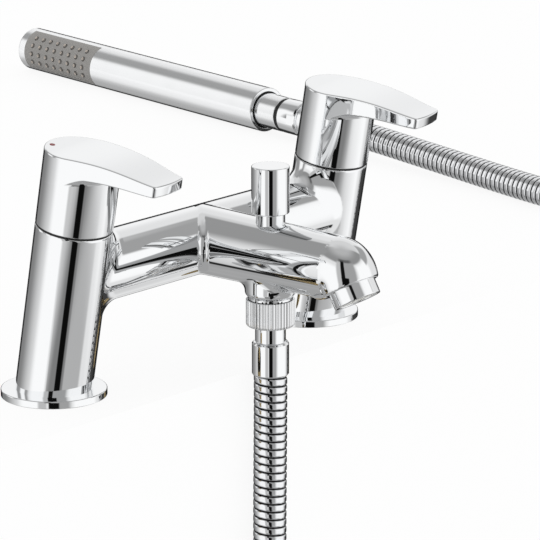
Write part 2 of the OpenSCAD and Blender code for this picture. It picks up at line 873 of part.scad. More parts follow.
// A hose end lies along its own axis: the flange is up and the hose leaves downwards
module hose_end(neck_l) {
  difference() {
    union() {
      cylinder(d = ferrule_flange_d, h = ferrule_flange_t);
      translate([0, 0, -neck_l])
        cylinder(d = ferrule_neck_d, h = neck_l);
      translate([0, 0, -neck_l - ferrule_l])
        cylinder(d = ferrule_d, h = ferrule_l);
      translate([0, 0, -neck_l - ferrule_l - spigot_l])
        cylinder(d = spigot_d, h = spigot_l);
    }
    translate([0, 0, -neck_l - ferrule_l - spigot_l - cut])
      cylinder(d = ferrule_bore_d, h = neck_l + ferrule_l + spigot_l + ferrule_flange_t + 2 * cut);
  }
}

module outlet_ferrule() {
  color(chrome)
    diverter_frame()
      translate([0, 0, nut_lip_z])
        hose_end(nut_lip_z - outlet_ferrule_z);
}

// The hose skin runs out along the ribs and back along the bore
module shower_hose() {
  outside = even_places(hose_rings);
  inside = even_places(bore_rings);
  n_out = len(outside);
  n_in = len(inside);
  points = concat(
    [for (k = [0:n_out - 1]) each ring(outside[k], hose_d / 2 - (k % 2) * rib_t)],
    [for (k = [0:n_in - 1]) each ring(inside[k], hose_bore_d / 2)]
  );
  start_in = n_out * ring_sides;
  function wrap(k) = k % ring_sides;
  outer_faces = [for (i = [0:n_out - 2]) for (k = [0:ring_sides - 1])
    let (a = i * ring_sides + k, b = i * ring_sides + wrap(k + 1), c = a + ring_sides, d = b + ring_sides)
      each [[a, b, c], [b, d, c]]];
  inner_faces = [for (i = [0:n_in - 2]) for (k = [0:ring_sides - 1])
    let (a = start_in + i * ring_sides + k, b = start_in + i * ring_sides + wrap(k + 1),
      c = a + ring_sides, d = b + ring_sides)
      each [[a, c, b], [b, c, d]]];
  last_out = (n_out - 1) * ring_sides;
  last_in = start_in + (n_in - 1) * ring_sides;
  end_faces = [for (k = [0:ring_sides - 1]) each [
    [k, start_in + k, wrap(k + 1)], [wrap(k + 1), start_in + k, start_in + wrap(k + 1)],
    [last_out + k, last_out + wrap(k + 1), last_in + k],
    [last_out + wrap(k + 1), last_in + wrap(k + 1), last_in + k]
  ]];
  color(chrome)
    polyhedron(points = points, faces = concat(outer_faces, inner_faces, end_faces));
}

module handset_ferrule() {
  color(chrome)
    handset_frame()
      translate([0, 0, hand_lip_p])
        hose_end(hand_lip_p);
}

module handset_washer() {
  color(black_rubber)
    handset_frame()
      translate([0, 0, hand_washer_p])
        tube(thread_d - 2 * fit, ferrule_bore_d, washer_t);
}

module handset_nut() {
  color(chrome)
    handset_frame()
      difference() {
        cylinder(d = handset_neck_d, h = cone_nut_l);
        translate([0, 0, hand_lip_p])
          cylinder(d = ferrule_flange_d + 2 * fit, h = cone_nut_l);
        translate([0, 0, -cut])
          cylinder(d = ferrule_neck_d + 2 * fit, h = cone_nut_l);
        for (turn = [0, 180])
          rotate([0, 0, face_turn + turn])
            translate([wrench_af / 2, -handset_neck_d / 2, (cone_nut_l - wrench_l) / 2])
              cube([handset_neck_d, handset_neck_d, wrench_l]);
      }
}

module handset_seal_ring() {
  color(black_rubber)
    handset_frame()
      translate([0, 0, seal_ring_p + 3 * fit])
        tube(handset_neck_d - 10 * fit, thread_d + 2 * fit, seal_ring_t - 3 * fit);
}

module handset_neck() {
  inside_d = handset_d - 2 * handset_wall - 2 * fit;
  color(chrome)
    handset_frame()
      difference() {
        union() {
          translate([0, 0, thread_p + 2 * fit])
            cylinder(d = thread_d, h = neck_p - thread_p - 2 * fit);
          translate([0, 0, neck_p])
            cylinder(d = handset_neck_d, h = plug_p - neck_p);
          translate([0, 0, plug_p])
            cylinder(d = inside_d, h = plug_l);
        }
        translate([0, 0, thread_p - cut])
          cylinder(d = inner_tube_d - 2 * inner_tube_wall, h = tube_end_p);
        translate([0, 0, plug_p + plug_l / 2])
          cylinder(d = inner_tube_d + 2 * fit, h = plug_l);
      }
}

module face_sector(r, arc, length) {
  rotate([0, 0, face_turn - arc / 2])
    rotate_extrude(angle = arc)
      square([r, length]);
}

module handset_tube() {
  color(chrome)
    handset_frame()
      difference() {
        translate([0, 0, tube_p])
          tube(handset_d, handset_d - 2 * handset_wall, handset_l - end_cap_t);
        translate([0, 0, face_p])
          face_sector(handset_d, face_arc, face_l);
      }
}

module handset_water_tube() {
  inside_d = handset_d - 2 * handset_wall - 2 * fit;
  start_p = plug_p + plug_l / 2 + fit;
  head_p = face_p - water_head_gap - water_head_t;
  color(white_plastic)
    handset_frame()
      difference() {
        union() {
          translate([0, 0, start_p])
            cylinder(d = inner_tube_d, h = head_p - start_p);
          translate([0, 0, head_p])
            cylinder(d = inside_d, h = water_head_t);
        }
        translate([0, 0, start_p - cut])
          cylinder(d = inner_tube_d - 2 * inner_tube_wall, h = tube_end_p);
      }
}

module spray_face() {
  inside_d = handset_d - 2 * handset_wall;
  color(grey_rubber)
    handset_frame()
      translate([0, 0, face_p + fit])
        difference() {
          face_sector(handset_d / 2, face_arc - 1, face_l - 2 * fit);
          translate([0, 0, -cut])
            cylinder(d = inside_d, h = face_l + 2 * cut);
        }
}

module spray_nozzles() {
  color(grey_rubber)
    handset_frame()
      for (row = [0:nozzle_rows - 1])
        for (k = [0:nozzle_count - 1])
          translate([0, 0, face_p + nozzle_margin + k * nozzle_pitch])
            rotate([0, 0, face_turn + (row - (nozzle_rows - 1) / 2) * nozzle_step])
              translate([handset_d / 2, 0, 0])
                rotate([0, 90, 0])
                  cylinder(d1 = nozzle_d, d2 = nozzle_d * nozzle_taper, h = nozzle_out, $fn = 24);
}

module handset_end_cap() {
  inside_d = handset_d - 2 * handset_wall - 2 * fit;
  color(chrome)
    handset_frame()
      translate([0, 0, tube_end_p - end_cap_t])
        union() {
          rotate_extrude()
            polygon([
              [0, 0], [handset_d / 2, 0], [handset_d / 2, end_cap_t * 0.4],
              [handset_d / 2 - end_cap_t * 0.25, end_cap_t * 0.75],
              [handset_d / 2 - end_cap_t * 0.9, end_cap_t], [0, end_cap_t]
            ]);
          translate([0, 0, -cap_spigot_l])
            cylinder(d = inside_d, h = cap_spigot_l);
        }
}

body_casting();
flange(hot);  // hot_flange
flange(cold);  // cold_flange
gasket(hot);  // hot_gasket
gasket(cold);  // cold_gasket
tail(hot);  // hot_tail
tail(cold);  // cold_tail
back_washer(hot);  // hot_back_washer
back_washer(cold);  // cold_back_washer
back_nut(hot);  // hot_back_nut
back_nut(cold);  // cold_back_nut
cartridge(hot);  // hot_cartridge
cartridge(cold);  // cold_cartridge
seat_seal(hot);  // hot_seat_seal
seat_seal(cold);  // cold_seat_seal
ported_disc(hot, fixed_disc_h);  // hot_fixed_disc
ported_disc(cold, fixed_disc_h);  // cold_fixed_disc
ported_disc(hot, turning_disc_h);  // hot_turning_disc
ported_disc(cold, turning_disc_h);  // cold_turning_disc
spindle(hot);  // hot_spindle
spindle(cold);  // cold_spindle
spindle_ring(hot);  // hot_spindle_ring
spindle_ring(cold);  // cold_spindle_ring
handle(hot);  // hot_handle
handle(cold);  // cold_handle
indicator();  // hot_indicator
grub_screw(hot);  // hot_grub_screw
grub_screw(cold);  // cold_grub_screw
diverter_bush();
diverter_rod();
diverter_knob();
diverter_plunger();
diverter_seal();
aerator_housing();
aerator_straightener();
aerator_washer();
shower_nipple();
check_valve();
outlet_washer();
outlet_nut();
outlet_ferrule();
shower_hose();
handset_ferrule();
handset_washer();
handset_nut();
handset_seal_ring();
handset_neck();
handset_tube();
handset_water_tube();
spray_face();
spray_nozzles();
handset_end_cap();
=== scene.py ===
# %% [markdown]
# # A chrome bath shower mixer
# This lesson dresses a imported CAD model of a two-hole bath shower mixer. The CAD parts are a fixed frame:
# they say where every piece is and what moves. Blender adds the finish: smooth cast forms, mirror chrome,
# a ribbed hose and the soft studio light that chrome needs in order to look like chrome.
# Sizes are written in millimetres, as on a drawing, and become metres where a mesh is made.

import json
import math

import bpy
import numpy as np
from mathutils import Matrix, Vector


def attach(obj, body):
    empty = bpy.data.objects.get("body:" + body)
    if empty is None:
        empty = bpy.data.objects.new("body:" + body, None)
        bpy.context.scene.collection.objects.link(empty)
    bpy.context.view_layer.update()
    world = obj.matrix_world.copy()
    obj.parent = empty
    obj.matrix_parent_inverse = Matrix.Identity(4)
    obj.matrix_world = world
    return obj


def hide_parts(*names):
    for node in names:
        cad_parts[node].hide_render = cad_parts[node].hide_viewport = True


MM = 0.001
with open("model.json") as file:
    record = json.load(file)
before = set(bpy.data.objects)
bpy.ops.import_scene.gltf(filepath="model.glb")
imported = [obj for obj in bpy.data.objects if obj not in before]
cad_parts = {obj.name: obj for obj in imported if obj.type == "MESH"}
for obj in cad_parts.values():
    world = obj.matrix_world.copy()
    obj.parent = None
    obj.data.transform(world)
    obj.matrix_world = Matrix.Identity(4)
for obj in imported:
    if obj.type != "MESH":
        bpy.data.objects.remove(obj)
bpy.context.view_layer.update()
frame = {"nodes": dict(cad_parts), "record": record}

# %% [markdown]
# ## The camera
# The photograph was taken with a long lens from the left, a little above the levers. A short lens close by
# would make the near pillar much bigger than the far one. A long lens far away keeps both nearly the same
# size, so the camera stands almost two metres off with a 252 mm lens.

# %% Camera
CAMERA_AZIMUTH = math.radians(-49)
CAMERA_ELEVATION = math.radians(14.89)
CAMERA_EYE_MM = Vector((-1280.7, -1166.4, 501.3))
CAMERA_LENS = 252.1
CAMERA_SENSOR = 36
CAMERA_FAR_M = 50

camera_back = Vector((
    math.sin(CAMERA_AZIMUTH) * math.cos(CAMERA_ELEVATION),
    -math.cos(CAMERA_AZIMUTH) * math.cos(CAMERA_ELEVATION),
    math.sin(CAMERA_ELEVATION),
))
camera_right = Vector((math.cos(CAMERA_AZIMUTH), math.sin(CAMERA_AZIMUTH), 0))
camera_up = camera_back.cross(camera_right)
camera = bpy.data.objects.new("camera", bpy.data.cameras.new("camera"))
camera.matrix_world = Matrix.Translation(CAMERA_EYE_MM * MM) @ Matrix(
    (camera_right, camera_up, camera_back)).transposed().to_4x4()
camera.data.lens = CAMERA_LENS
camera.data.sensor_width = CAMERA_SENSOR
camera.data.clip_end = CAMERA_FAR_M
bpy.context.scene.collection.objects.link(camera)
bpy.context.scene.camera = camera
print("camera stands", round(camera.location.length, 3), "m from the deck's middle")

# %% [markdown]
# ## Small helpers
# A node tree is easier to read when one short function adds a node, sets it up and links its inputs.
# Colours are written as sRGB hex values, as on a paint chart, and turned to linear light here. The other
# three make a smooth mesh from points in millimetres, carry points and normals to their place, and fit a
# finished piece: its material, the body that it rides on and the CAD nodes that it stands for.

# %% Helpers
def linear(hex_colour):
    parts = [int(hex_colour[k:k + 2], 16) / 255 for k in (1, 3, 5)]
    return [p / 12.92 if p <= 0.04045 else ((p + 0.055) / 1.055) ** 2.4 for p in parts] + [1.0]


def add_node(tree, kind, inputs=None, **settings):
    node = tree.nodes.new(kind)
    for name, value in settings.items():
        setattr(node, name, value)
    for key, value in (inputs or {}).items():
        if isinstance(value, bpy.types.NodeSocket):
            tree.links.new(value, node.inputs[key])
        else:
            node.inputs[key].default_value = value
    return node


def make_piece(name, points_mm, faces, normals=None):
    mesh = bpy.data.meshes.new(name)
    mesh.from_pydata((np.asarray(points_mm) * MM).tolist(), [], faces)
    mesh.polygons.foreach_set("use_smooth", [True] * len(mesh.polygons))
    if normals is not None:
        mesh.normals_split_custom_set_from_vertices(np.asarray(normals).tolist())
    piece = bpy.data.objects.new(name, mesh)
    bpy.context.scene.collection.objects.link(piece)
    return piece


def moved(points, normals, place):
    place = np.array(place)
    return points @ place[:3, :3].T + place[:3, 3], normals @ place[:3, :3].T


def fit(piece, body, slot, material, *nodes):
    piece.data.materials.clear()
    piece.data.materials.append(material)
    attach(piece, body)
    if nodes:
        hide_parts(*nodes)
    print(piece.name, "has", len(piece.data.polygons), "faces and stands for", ", ".join(nodes) or "no node")


print("sRGB #808080 is", round(linear("#808080")[0], 3), "in linear light")

# %% [markdown]
# ## Chrome, rubber and enamel
# The mixer is cast brass with nickel and chrome plate. Chrome has hardly any colour of its own: the eye sees
# only the room in it. Grey stripes could be painted on, but they would stay put when the part is turned. So
# the shader is a plain polished metal, with a faint cloudiness in the polish about 20 mm across, and all the
# drawing on it comes from the studio at the end of this lesson.

# %% Chrome plate, rubber and enamel
POLISH_CLOUD = 20
NOISE_LOW = 0.3
NOISE_HIGH = 0.7
NOISE_DETAIL = 3.0


def new_material(name):
    material = bpy.data.materials.new(name)
    material.use_nodes = True
    tree = material.node_tree
    tree.nodes.clear()
    shader = add_node(tree, "ShaderNodeBsdfPrincipled")
    add_node(tree, "ShaderNodeOutputMaterial", {"Surface": shader.outputs[0]})
    return material, tree, shader


def cloud(tree, size_mm, low, high):
    place = add_node(tree, "ShaderNodeTexCoord")
    noise = add_node(tree, "ShaderNodeTexNoise", {
        "Vector": place.outputs["Object"], "Scale": 1 / (size_mm * MM), "Detail": NOISE_DETAIL})
    spread = add_node(tree, "ShaderNodeMapRange", {
        "Value": noise.outputs[0], "From Min": NOISE_LOW, "From Max": NOISE_HIGH, "To Min": low,
        "To Max": high})
    return spread.outputs[0]


def polished_metal(name, colour, smooth, cloudy):
    material, tree, shader = new_material(name)
    shader.inputs["Base Color"].default_value = linear(colour)
    shader.inputs["Metallic"].default_value = 1.0
    tree.links.new(cloud(tree, POLISH_CLOUD, smooth, cloudy), shader.inputs["Roughness"])
    return material


def moulded(name, low, high, size_mm, rough):
    material, tree, shader = new_material(name)
    colour = add_node(tree, "ShaderNodeMix", {"Factor": cloud(tree, size_mm, 0.0, 1.0)}, data_type="RGBA")
    colour.inputs["A"].default_value = linear(low)
    colour.inputs["B"].default_value = linear(high)
    tree.links.new(colour.outputs["Result"], shader.inputs["Base Color"])
    shader.inputs["Roughness"].default_value = rough
    return material


# Polished plate: almost white and almost without blur, so that the eye sees the room in it
chrome = polished_metal("chrome plate on polished brass", "#f7f8f9", 0.012, 0.03)
# Moulded rubber: a soft black without a glint, which reads as a thin dark line in a seam. On the CAD seals
# it is the rubber's own black, and on the rings in the seams it is painted shade
black_rubber = moulded("black nitrile rubber and painted seam shade", "#0b0b0b", "#171717", 2, 0.6)
# Baked enamel: a deep red with a small sharp highlight
red_enamel = moulded("red enamel", "#7a1612", "#8c1d18", 1, 0.25)
print("made:", ", ".join(material.name for material in (chrome, black_rubber, red_enamel)))

# %% [markdown]
# ## The route of the shower hose
# The hose runs from the outlet under the spout to the handset. It hangs in a wide bight in front of the
# deck, comes up over the deck's edge and lies on the deck. A simulation could find such a curve, but the
# hose has to lie where its CAD solid lies. So the route repeats the short list of points from the CAD source
# with one smooth curve through them.

# %% Route of the hose
OUTLET_Y = -53.4
HANDSET_NUT_MM = Vector((378.4, 247.5, 13.3))
HANDSET_TURN = math.radians(-9.8)
HANDSET_AXIS = Vector((-math.sin(HANDSET_TURN), math.cos(HANDSET_TURN), 0))
HOSE_SLEEVE_L = 16
HOSE_LEAD = 18
HOSE_D = 15.8
ROUTE_STEPS = 24

HOSE_ROUTE_MM = [
    (0, OUTLET_Y, 0), (0, OUTLET_Y, -HOSE_LEAD), (0, -53, -80), (1, -53, -130), (4, -54, -190),
    (10, -56, -255), (24, -59, -322), (48, -63, -386), (87, -69, -437), (136, -76, -466), (189, -83, -472),
    (240, -90, -455), (286, -97, -417), (319, -102, -361), (339, -106, -296), (348, -109, -229),
    (351, -110, -164), (352, -110, -110), (352, -110, -62), (351, -105, -35), (350, -90, -12.5),
    (347, -67, 2.5), (343, -40, 8), (340, -10, 8), (340, 20, 8), (344.5, 48, 8), (350.5, 75, 8.1),
    (356.5, 104, 8.8), (362, 134, 9.9), (366.5, 162, 11.1), (370, 188, 12.4),
    HANDSET_NUT_MM - (HOSE_SLEEVE_L + HOSE_LEAD) * HANDSET_AXIS,
    HANDSET_NUT_MM - HOSE_SLEEVE_L * HANDSET_AXIS,
]


def smooth_route(points):
    points = np.array([tuple(p) for p in points], float)
    padded = np.vstack([points[:1], points, points[-1:]])
    curve = []
    for a, b, c, d in zip(padded[:-3], padded[1:-2], padded[2:-1], padded[3:]):
        for t in np.arange(ROUTE_STEPS) / ROUTE_STEPS:
            curve.append(0.5 * (2 * b + (c - a) * t + (2 * a - 5 * b + 4 * c - d) * t ** 2
                                + (3 * b - a - 3 * c + d) * t ** 3))
    return np.vstack([curve, points[-1:]])


hose_path = smooth_route(HOSE_ROUTE_MM) * MM
hose_length = float(np.linalg.norm(np.diff(hose_path, axis=0), axis=1).sum())
print("the hose's strip is", round(hose_length, 3), "m long")

# %% [markdown]
# ## Growing a piece with nodes
# Three pieces of the mixer follow a rule: the wound hose, the knurled nut and the spray nozzles. Each gets a
# Geometry Nodes tree with named inputs for its sizes. The tree runs once on a carrier, its result becomes a
# plain mesh, and the carrier is thrown away. A plain mesh can be exported and moved with a body.

# %% Opening, closing and running a tree
def open_tree(name, sizes):
    tree = bpy.data.node_groups.new(name, "GeometryNodeTree")
    for way in ("INPUT", "OUTPUT"):
        tree.interface.new_socket("Geometry", in_out=way, socket_type="NodeSocketGeometry")
    values = {}
    for label, size in sizes.items():
        kind = "NodeSocketInt" if isinstance(size, int) else "NodeSocketFloat"
        made = tree.interface.new_socket(label, in_out="INPUT", socket_type=kind)
        values[made.identifier] = size
    print(tree.name, "takes", ", ".join(sizes))
    return tree, values, add_node(tree, "NodeGroupInput").outputs


def close_tree(tree, geometry, material):
    whole = add_node(tree, "GeometryNodeRealizeInstances", {"Geometry": geometry})
    dressed = add_node(tree, "GeometryNodeSetMaterial", {"Geometry": whole.outputs[0], "Material": material})
    add_node(tree, "NodeGroupOutput", {0: dressed.outputs[0]})


def grown(carrier, tree, name, values):
    modifier = carrier.modifiers.new("grow", "NODES")
    modifier.node_group = tree
    for identifier, value in values.items():
        modifier[identifier] = value
    depsgraph = bpy.context.evaluated_depsgraph_get()
    mesh = bpy.data.meshes.new_from_object(carrier.evaluated_get(depsgraph), depsgraph=depsgraph)
    mesh.name = name
    bpy.data.objects.remove(carrier)
    piece = bpy.data.objects.new(name, mesh)
    bpy.context.scene.collection.objects.link(piece)
    return piece


# %% [markdown]
# ## The hose's steel strip
# A shower hose is a thin steel strip wound into a spiral over a rubber tube. Rings could be strung along the
# route, but rings aren't a spiral, and a Screw modifier can't follow a bend. Nodes sweep a circle along the
# route and press one groove into it. Its place follows from the length along the route and the angle round
# it. The depth of the groove stays on the mesh as an attribute, so that the finish paints shade in the seam.

# %% Steel strip of the hose
STRIP_PITCH = 3.85
STRIP_GROOVE = 0.75
STRIP_STEPS = 14
STRIP_SIDES = 17
STRIP_FLAT = 6.0
STRIP_CLOUD = 6
SEAM_SHADE_START = 0.08
SEAM_SHADE_FULL = 0.4


def strip_tube(tree, given):
    spline = add_node(tree, "GeometryNodeSplineParameter")
    step = add_node(tree, "ShaderNodeMath", {0: given["Pitch"], 1: float(STRIP_STEPS)}, operation="DIVIDE")
    even = add_node(tree, "GeometryNodeResampleCurve",
                    {"Curve": given["Geometry"], "Length": step.outputs[0]}, mode="LENGTH")
    route = add_node(tree, "GeometryNodeStoreNamedAttribute",
                     {"Geometry": even.outputs[0], "Name": "along", "Value": spline.outputs["Length"]},
                     data_type="FLOAT", domain="POINT")
    radius = add_node(tree, "ShaderNodeMath", {0: given["Diameter"], 1: 0.5}, operation="MULTIPLY")
    ring = add_node(tree, "GeometryNodeCurvePrimitiveCircle",
                    {"Resolution": STRIP_SIDES, "Radius": radius.outputs[0]})
    section = add_node(tree, "GeometryNodeStoreNamedAttribute",
                       {"Geometry": ring.outputs[0], "Name": "around", "Value": spline.outputs["Factor"]},
                       data_type="FLOAT", domain="POINT")
    return add_node(tree, "GeometryNodeCurveToMesh", {
        "Curve": route.outputs[0], "Profile Curve": section.outputs[0], "Fill Caps": True}).outputs[0]


def strip_seam(tree, given):
    run = add_node(tree, "GeometryNodeInputNamedAttribute", {"Name": "along"}, data_type="FLOAT")
    turn = add_node(tree, "GeometryNodeInputNamedAttribute", {"Name": "around"}, data_type="FLOAT")
    turns = add_node(tree, "ShaderNodeMath", {0: run.outputs[0], 1: given["Pitch"]}, operation="DIVIDE")
    phase = add_node(tree, "ShaderNodeMath", {0: turns.outputs[0], 1: turn.outputs[0]}, operation="ADD")
    part = add_node(tree, "ShaderNodeMath", {0: phase.outputs[0]}, operation="FRACT")
    centred = add_node(tree, "ShaderNodeMath", {0: part.outputs[0], 1: 2.0, 2: -1.0},
                       operation="MULTIPLY_ADD")
    edge = add_node(tree, "ShaderNodeMath", {0: centred.outputs[0]}, operation="ABSOLUTE")
    return add_node(tree, "ShaderNodeMath", {0: edge.outputs[0], 1: STRIP_FLAT}, operation="POWER").outputs[0]


def strip_tree(material):
    tree, values, given = open_tree("wound steel strip", {
        "Diameter": HOSE_D * MM, "Pitch": STRIP_PITCH * MM, "Groove": STRIP_GROOVE * MM})
    seam = strip_seam(tree, given)
    marked = add_node(tree, "GeometryNodeStoreNamedAttribute",
                      {"Geometry": strip_tube(tree, given), "Name": "seam", "Value": seam},
                      data_type="FLOAT", domain="POINT")
    depth = add_node(tree, "ShaderNodeMath", {0: seam, 1: given["Groove"]}, operation="MULTIPLY")
    inward = add_node(tree, "ShaderNodeMath", {0: depth.outputs[0], 1: -1.0}, operation="MULTIPLY")
    normal = add_node(tree, "GeometryNodeInputNormal")
    push = add_node(tree, "ShaderNodeVectorMath", {0: normal.outputs[0], "Scale": inward.outputs[0]},
                    operation="SCALE")
    pressed = add_node(tree, "GeometryNodeSetPosition",
                       {"Geometry": marked.outputs[0], "Offset": push.outputs[0]})
    soft = add_node(tree, "GeometryNodeSetShadeSmooth",
                    {"Geometry": pressed.outputs[0], "Shade Smooth": True})
    close_tree(tree, soft.outputs[0], material)
    return tree, values


def route_curve(path):
    data = bpy.data.curves.new("hose route", "CURVE")
    data.dimensions = "3D"
    spline = data.splines.new("POLY")
    spline.points.add(len(path) - 1)
    spline.points.foreach_set("co", np.hstack([path, np.ones((len(path), 1))]).ravel())
    carrier = bpy.data.objects.new("hose route", data)
    bpy.context.scene.collection.objects.link(carrier)
    return carrier


# Wound stainless strip: bright on the flat of each turn and nearly black in the seam, which draws the ribs.
# The black in the seam is painted shade
def hose_steel():
    material, tree, shader = new_material("wound stainless strip with painted seam shade")
    shader.inputs["Metallic"].default_value = 1.0
    seam = add_node(tree, "ShaderNodeAttribute", attribute_name="seam")
    # Painted shade: the colour turns nearly black along the seam, where the groove lies in shade
    seam_shade = add_node(tree, "ShaderNodeMapRange",
                    {"Value": seam.outputs["Fac"], "From Min": SEAM_SHADE_START, "From Max": SEAM_SHADE_FULL})
    colour = add_node(tree, "ShaderNodeMix", {"Factor": seam_shade.outputs[0]}, data_type="RGBA")
    colour.inputs["A"].default_value = linear("#f2f3f5")
    colour.inputs["B"].default_value = linear("#161718")
    tree.links.new(colour.outputs["Result"], shader.inputs["Base Color"])
    tree.links.new(cloud(tree, STRIP_CLOUD, 0.06, 0.12), shader.inputs["Roughness"])
    return material


hose_material = hose_steel()
strip, strip_values = strip_tree(hose_material)
hose = grown(route_curve(hose_path), strip, "shower_hose_strip", strip_values)
fit(hose, "mixer", "hose_metal", hose_material, "shower_hose")
print("strip turns:", round(hose_length / (STRIP_PITCH * MM)))

# %% [markdown]
# ## Distances that melt together
# Pillars, bridge, spout and shower boss are one brass casting, ground and polished before plating, so every
# meeting of two tubes is a small soft fillet. Joining tubes and bevelling their edges gives lumpy fillets.
# Instead each tube is a distance in millimetres, negative inside it, and two distances are joined or cut
# with a rounded corner. The slope of the joined distance is the exact normal of the surface.

# %% Distances and their joins
SLOPE_STEP = 0.02
TEST_FILLET = 5.0


def fillet_join(a, b, radius):
    rise_a = np.maximum(radius - a, 0)
    rise_b = np.maximum(radius - b, 0)
    return np.maximum(radius, np.minimum(a, b)) - np.hypot(rise_a, rise_b)


def round_cut(a, b, radius):
    over_a = np.maximum(radius + a, 0)
    over_b = np.maximum(radius + b, 0)
    return np.minimum(-radius, np.maximum(a, b)) + np.hypot(over_a, over_b)


def slopes(field, points):
    result = np.empty_like(points)
    for axis in range(3):
        shift = np.zeros(3)
        shift[axis] = SLOPE_STEP
        result[:, axis] = field(points + shift) - field(points - shift)
    return result / (2 * SLOPE_STEP)


print("a", TEST_FILLET, "mm fillet fills its corner by",
      round(-float(fillet_join(0.0, 0.0, TEST_FILLET)), 2), "mm")

# %% [markdown]
# ## A net over the surface
# A mesh is drawn tight over the surface where a distance is zero. Blender's own Remesh would do it in voxel
# steps, and chrome shows every dent. Here each small cell that the surface crosses gets one net point, which
# is pulled onto the exact surface, and each grid edge that the surface crosses becomes one quad. Far from
# the surface the distance is read on a coarse grid only, which keeps the work short.

# %% Net of quads
NET_COARSE = 4
NET_NEAR = 2.2
PULL_ROUNDS = 6
LEAST_SLOPE = 0.05


def grid_values(field, axes, step):
    rough = np.stack(np.meshgrid(*[axis[::NET_COARSE] for axis in axes], indexing="ij"), -1)
    value = field(rough.reshape(-1, 3)).reshape(rough.shape[:3])
    for k in range(3):
        value = np.repeat(value, NET_COARSE, axis=k)
        nearest = np.clip(np.arange(len(axes[k])) + NET_COARSE // 2, 0, value.shape[k] - 1)
        value = np.take(value, nearest, axis=k)
    near = np.abs(value) < NET_NEAR * step * NET_COARSE
    index = np.argwhere(near)
    value[near] = field(np.stack([axes[k][index[:, k]] for k in range(3)], -1))
    return value


def crossed_cells(inside):
    across, deep, tall = (count - 1 for count in inside.shape)
    corners_in = np.zeros((across, deep, tall), int)
    for i, j, k in np.ndindex(2, 2, 2):
        corners_in += inside[i:across + i, j:deep + j, k:tall + k]
    return np.argwhere((corners_in > 0) & (corners_in < 8))


def pulled_tight(field, net, step):
    for _ in range(PULL_ROUNDS):
        slope = slopes(field, net)
        steep = np.maximum((slope ** 2).sum(1), LEAST_SLOPE)
        net = net - np.clip(field(net)[:, None] * slope / steep[:, None], -step, step)
    return net


def net_quads(inside, number):
    counts = number.shape
    faces = []
    for axis in range(3):
        first = np.take(inside, range(counts[axis]), axis=axis)
        second = np.take(inside, range(1, counts[axis] + 1), axis=axis)
        crossing = np.argwhere(first != second)
        b, c = (axis + 1) % 3, (axis + 2) % 3
        keep = (crossing[:, b] > 0) & (crossing[:, c] > 0)
        keep &= (crossing[:, b] < counts[b]) & (crossing[:, c] < counts[c])
        crossing = crossing[keep]
        corners = []
        for back_b, back_c in ((1, 1), (0, 1), (0, 0), (1, 0)):
            cell = crossing.copy()
            cell[:, b] -= back_b
            cell[:, c] -= back_c
            corners.append(number[tuple(cell.T)])
        quads = np.stack(corners, -1)
        flip = ~first[tuple(crossing.T)]
        quads[flip] = quads[flip][:, ::-1]
        faces.append(quads)
    return np.vstack(faces).tolist()


def net_over(field, low, high, step):
    low = np.array(low, float)
    counts = np.ceil((np.array(high) - low) / (step * NET_COARSE)).astype(int) * NET_COARSE
    axes = [low[k] + step * np.arange(counts[k] + 1) for k in range(3)]
    inside = grid_values(field, axes, step) < 0
    cells = crossed_cells(inside)
    number = np.full(tuple(counts), -1)
    number[tuple(cells.T)] = np.arange(len(cells))
    net = pulled_tight(field, low + step * (cells + 0.5), step)
    slope = slopes(field, net)
    furthest = float(np.abs(field(net)).max())
    print("net of", len(net), "points, furthest from the surface", round(furthest, 3), "mm")
    return net, net_quads(inside, number), slope / np.linalg.norm(slope, axis=1)[:, None]


# %% [markdown]
# ## The casting's tubes
# Each tube gives its distance and the way its wall faces. Where two walls face the same way, as on top of
# the bridge and the spout, a fillet would only swell the surface, so the fillet's radius shrinks to nothing
# there.

# %% Pillars and bridge
INLET_X = 90
LEAN = math.radians(10.3)
FLANGE_T = 3.5
PILLAR_R = 17.8
PILLAR_L = 79.8
PILLAR_EDGE = 0.7
PILLAR_SINK = 1.2
BRIDGE_R = 16.1
BRIDGE_Z = 58
BRIDGE_Y = -(BRIDGE_Z - FLANGE_T) * math.tan(LEAN)
LEAST_FILLET = 0.02
SPECK = 1e-9


def pillar_place(side):
    return Matrix.Translation((side * INLET_X, 0, FLANGE_T)) @ Matrix.Rotation(LEAN, 4, "X")


def local(points, place):
    back = np.array(place.inverted())
    return points @ back[:3, :3].T + back[:3, 3]


def meeting(normal_a, normal_b, radius):
    return radius * np.clip(1 - (normal_a * normal_b).sum(1), 0, 1) + LEAST_FILLET


def pillar_field(points, side):
    place = pillar_place(side)
    at = local(points, place)
    reach = np.hypot(at[:, 0], at[:, 1]) + SPECK
    wall = round_cut(reach - PILLAR_R, at[:, 2] - PILLAR_L, PILLAR_EDGE)
    flat = np.stack([at[:, 0] / reach, at[:, 1] / reach, np.zeros(len(at))], -1)
    return np.maximum(wall, FLANGE_T - PILLAR_SINK - points[:, 2]), flat @ np.array(place)[:3, :3].T


def bridge_field(points):
    y = points[:, 1] - BRIDGE_Y
    z = points[:, 2] - BRIDGE_Z
    reach = np.hypot(y, z) + SPECK
    normal = np.stack([np.zeros(len(points)), y / reach, z / reach], -1)
    return np.maximum(reach - BRIDGE_R, np.abs(points[:, 0]) - INLET_X), normal


print("the bridge's axis runs", round(-BRIDGE_Y, 2), "mm in front of the inlets")

# %% [markdown]
# ## The spout and its boss
# The spout tapers a little and ends in a short bend with a flat mouth. A swept pipe would pinch on the inside
# of such a tight bend, so the bend is a ball carried along an arc, written as one distance. The boss under
# the spout carries the shower outlet and has a thin band at its lower end.

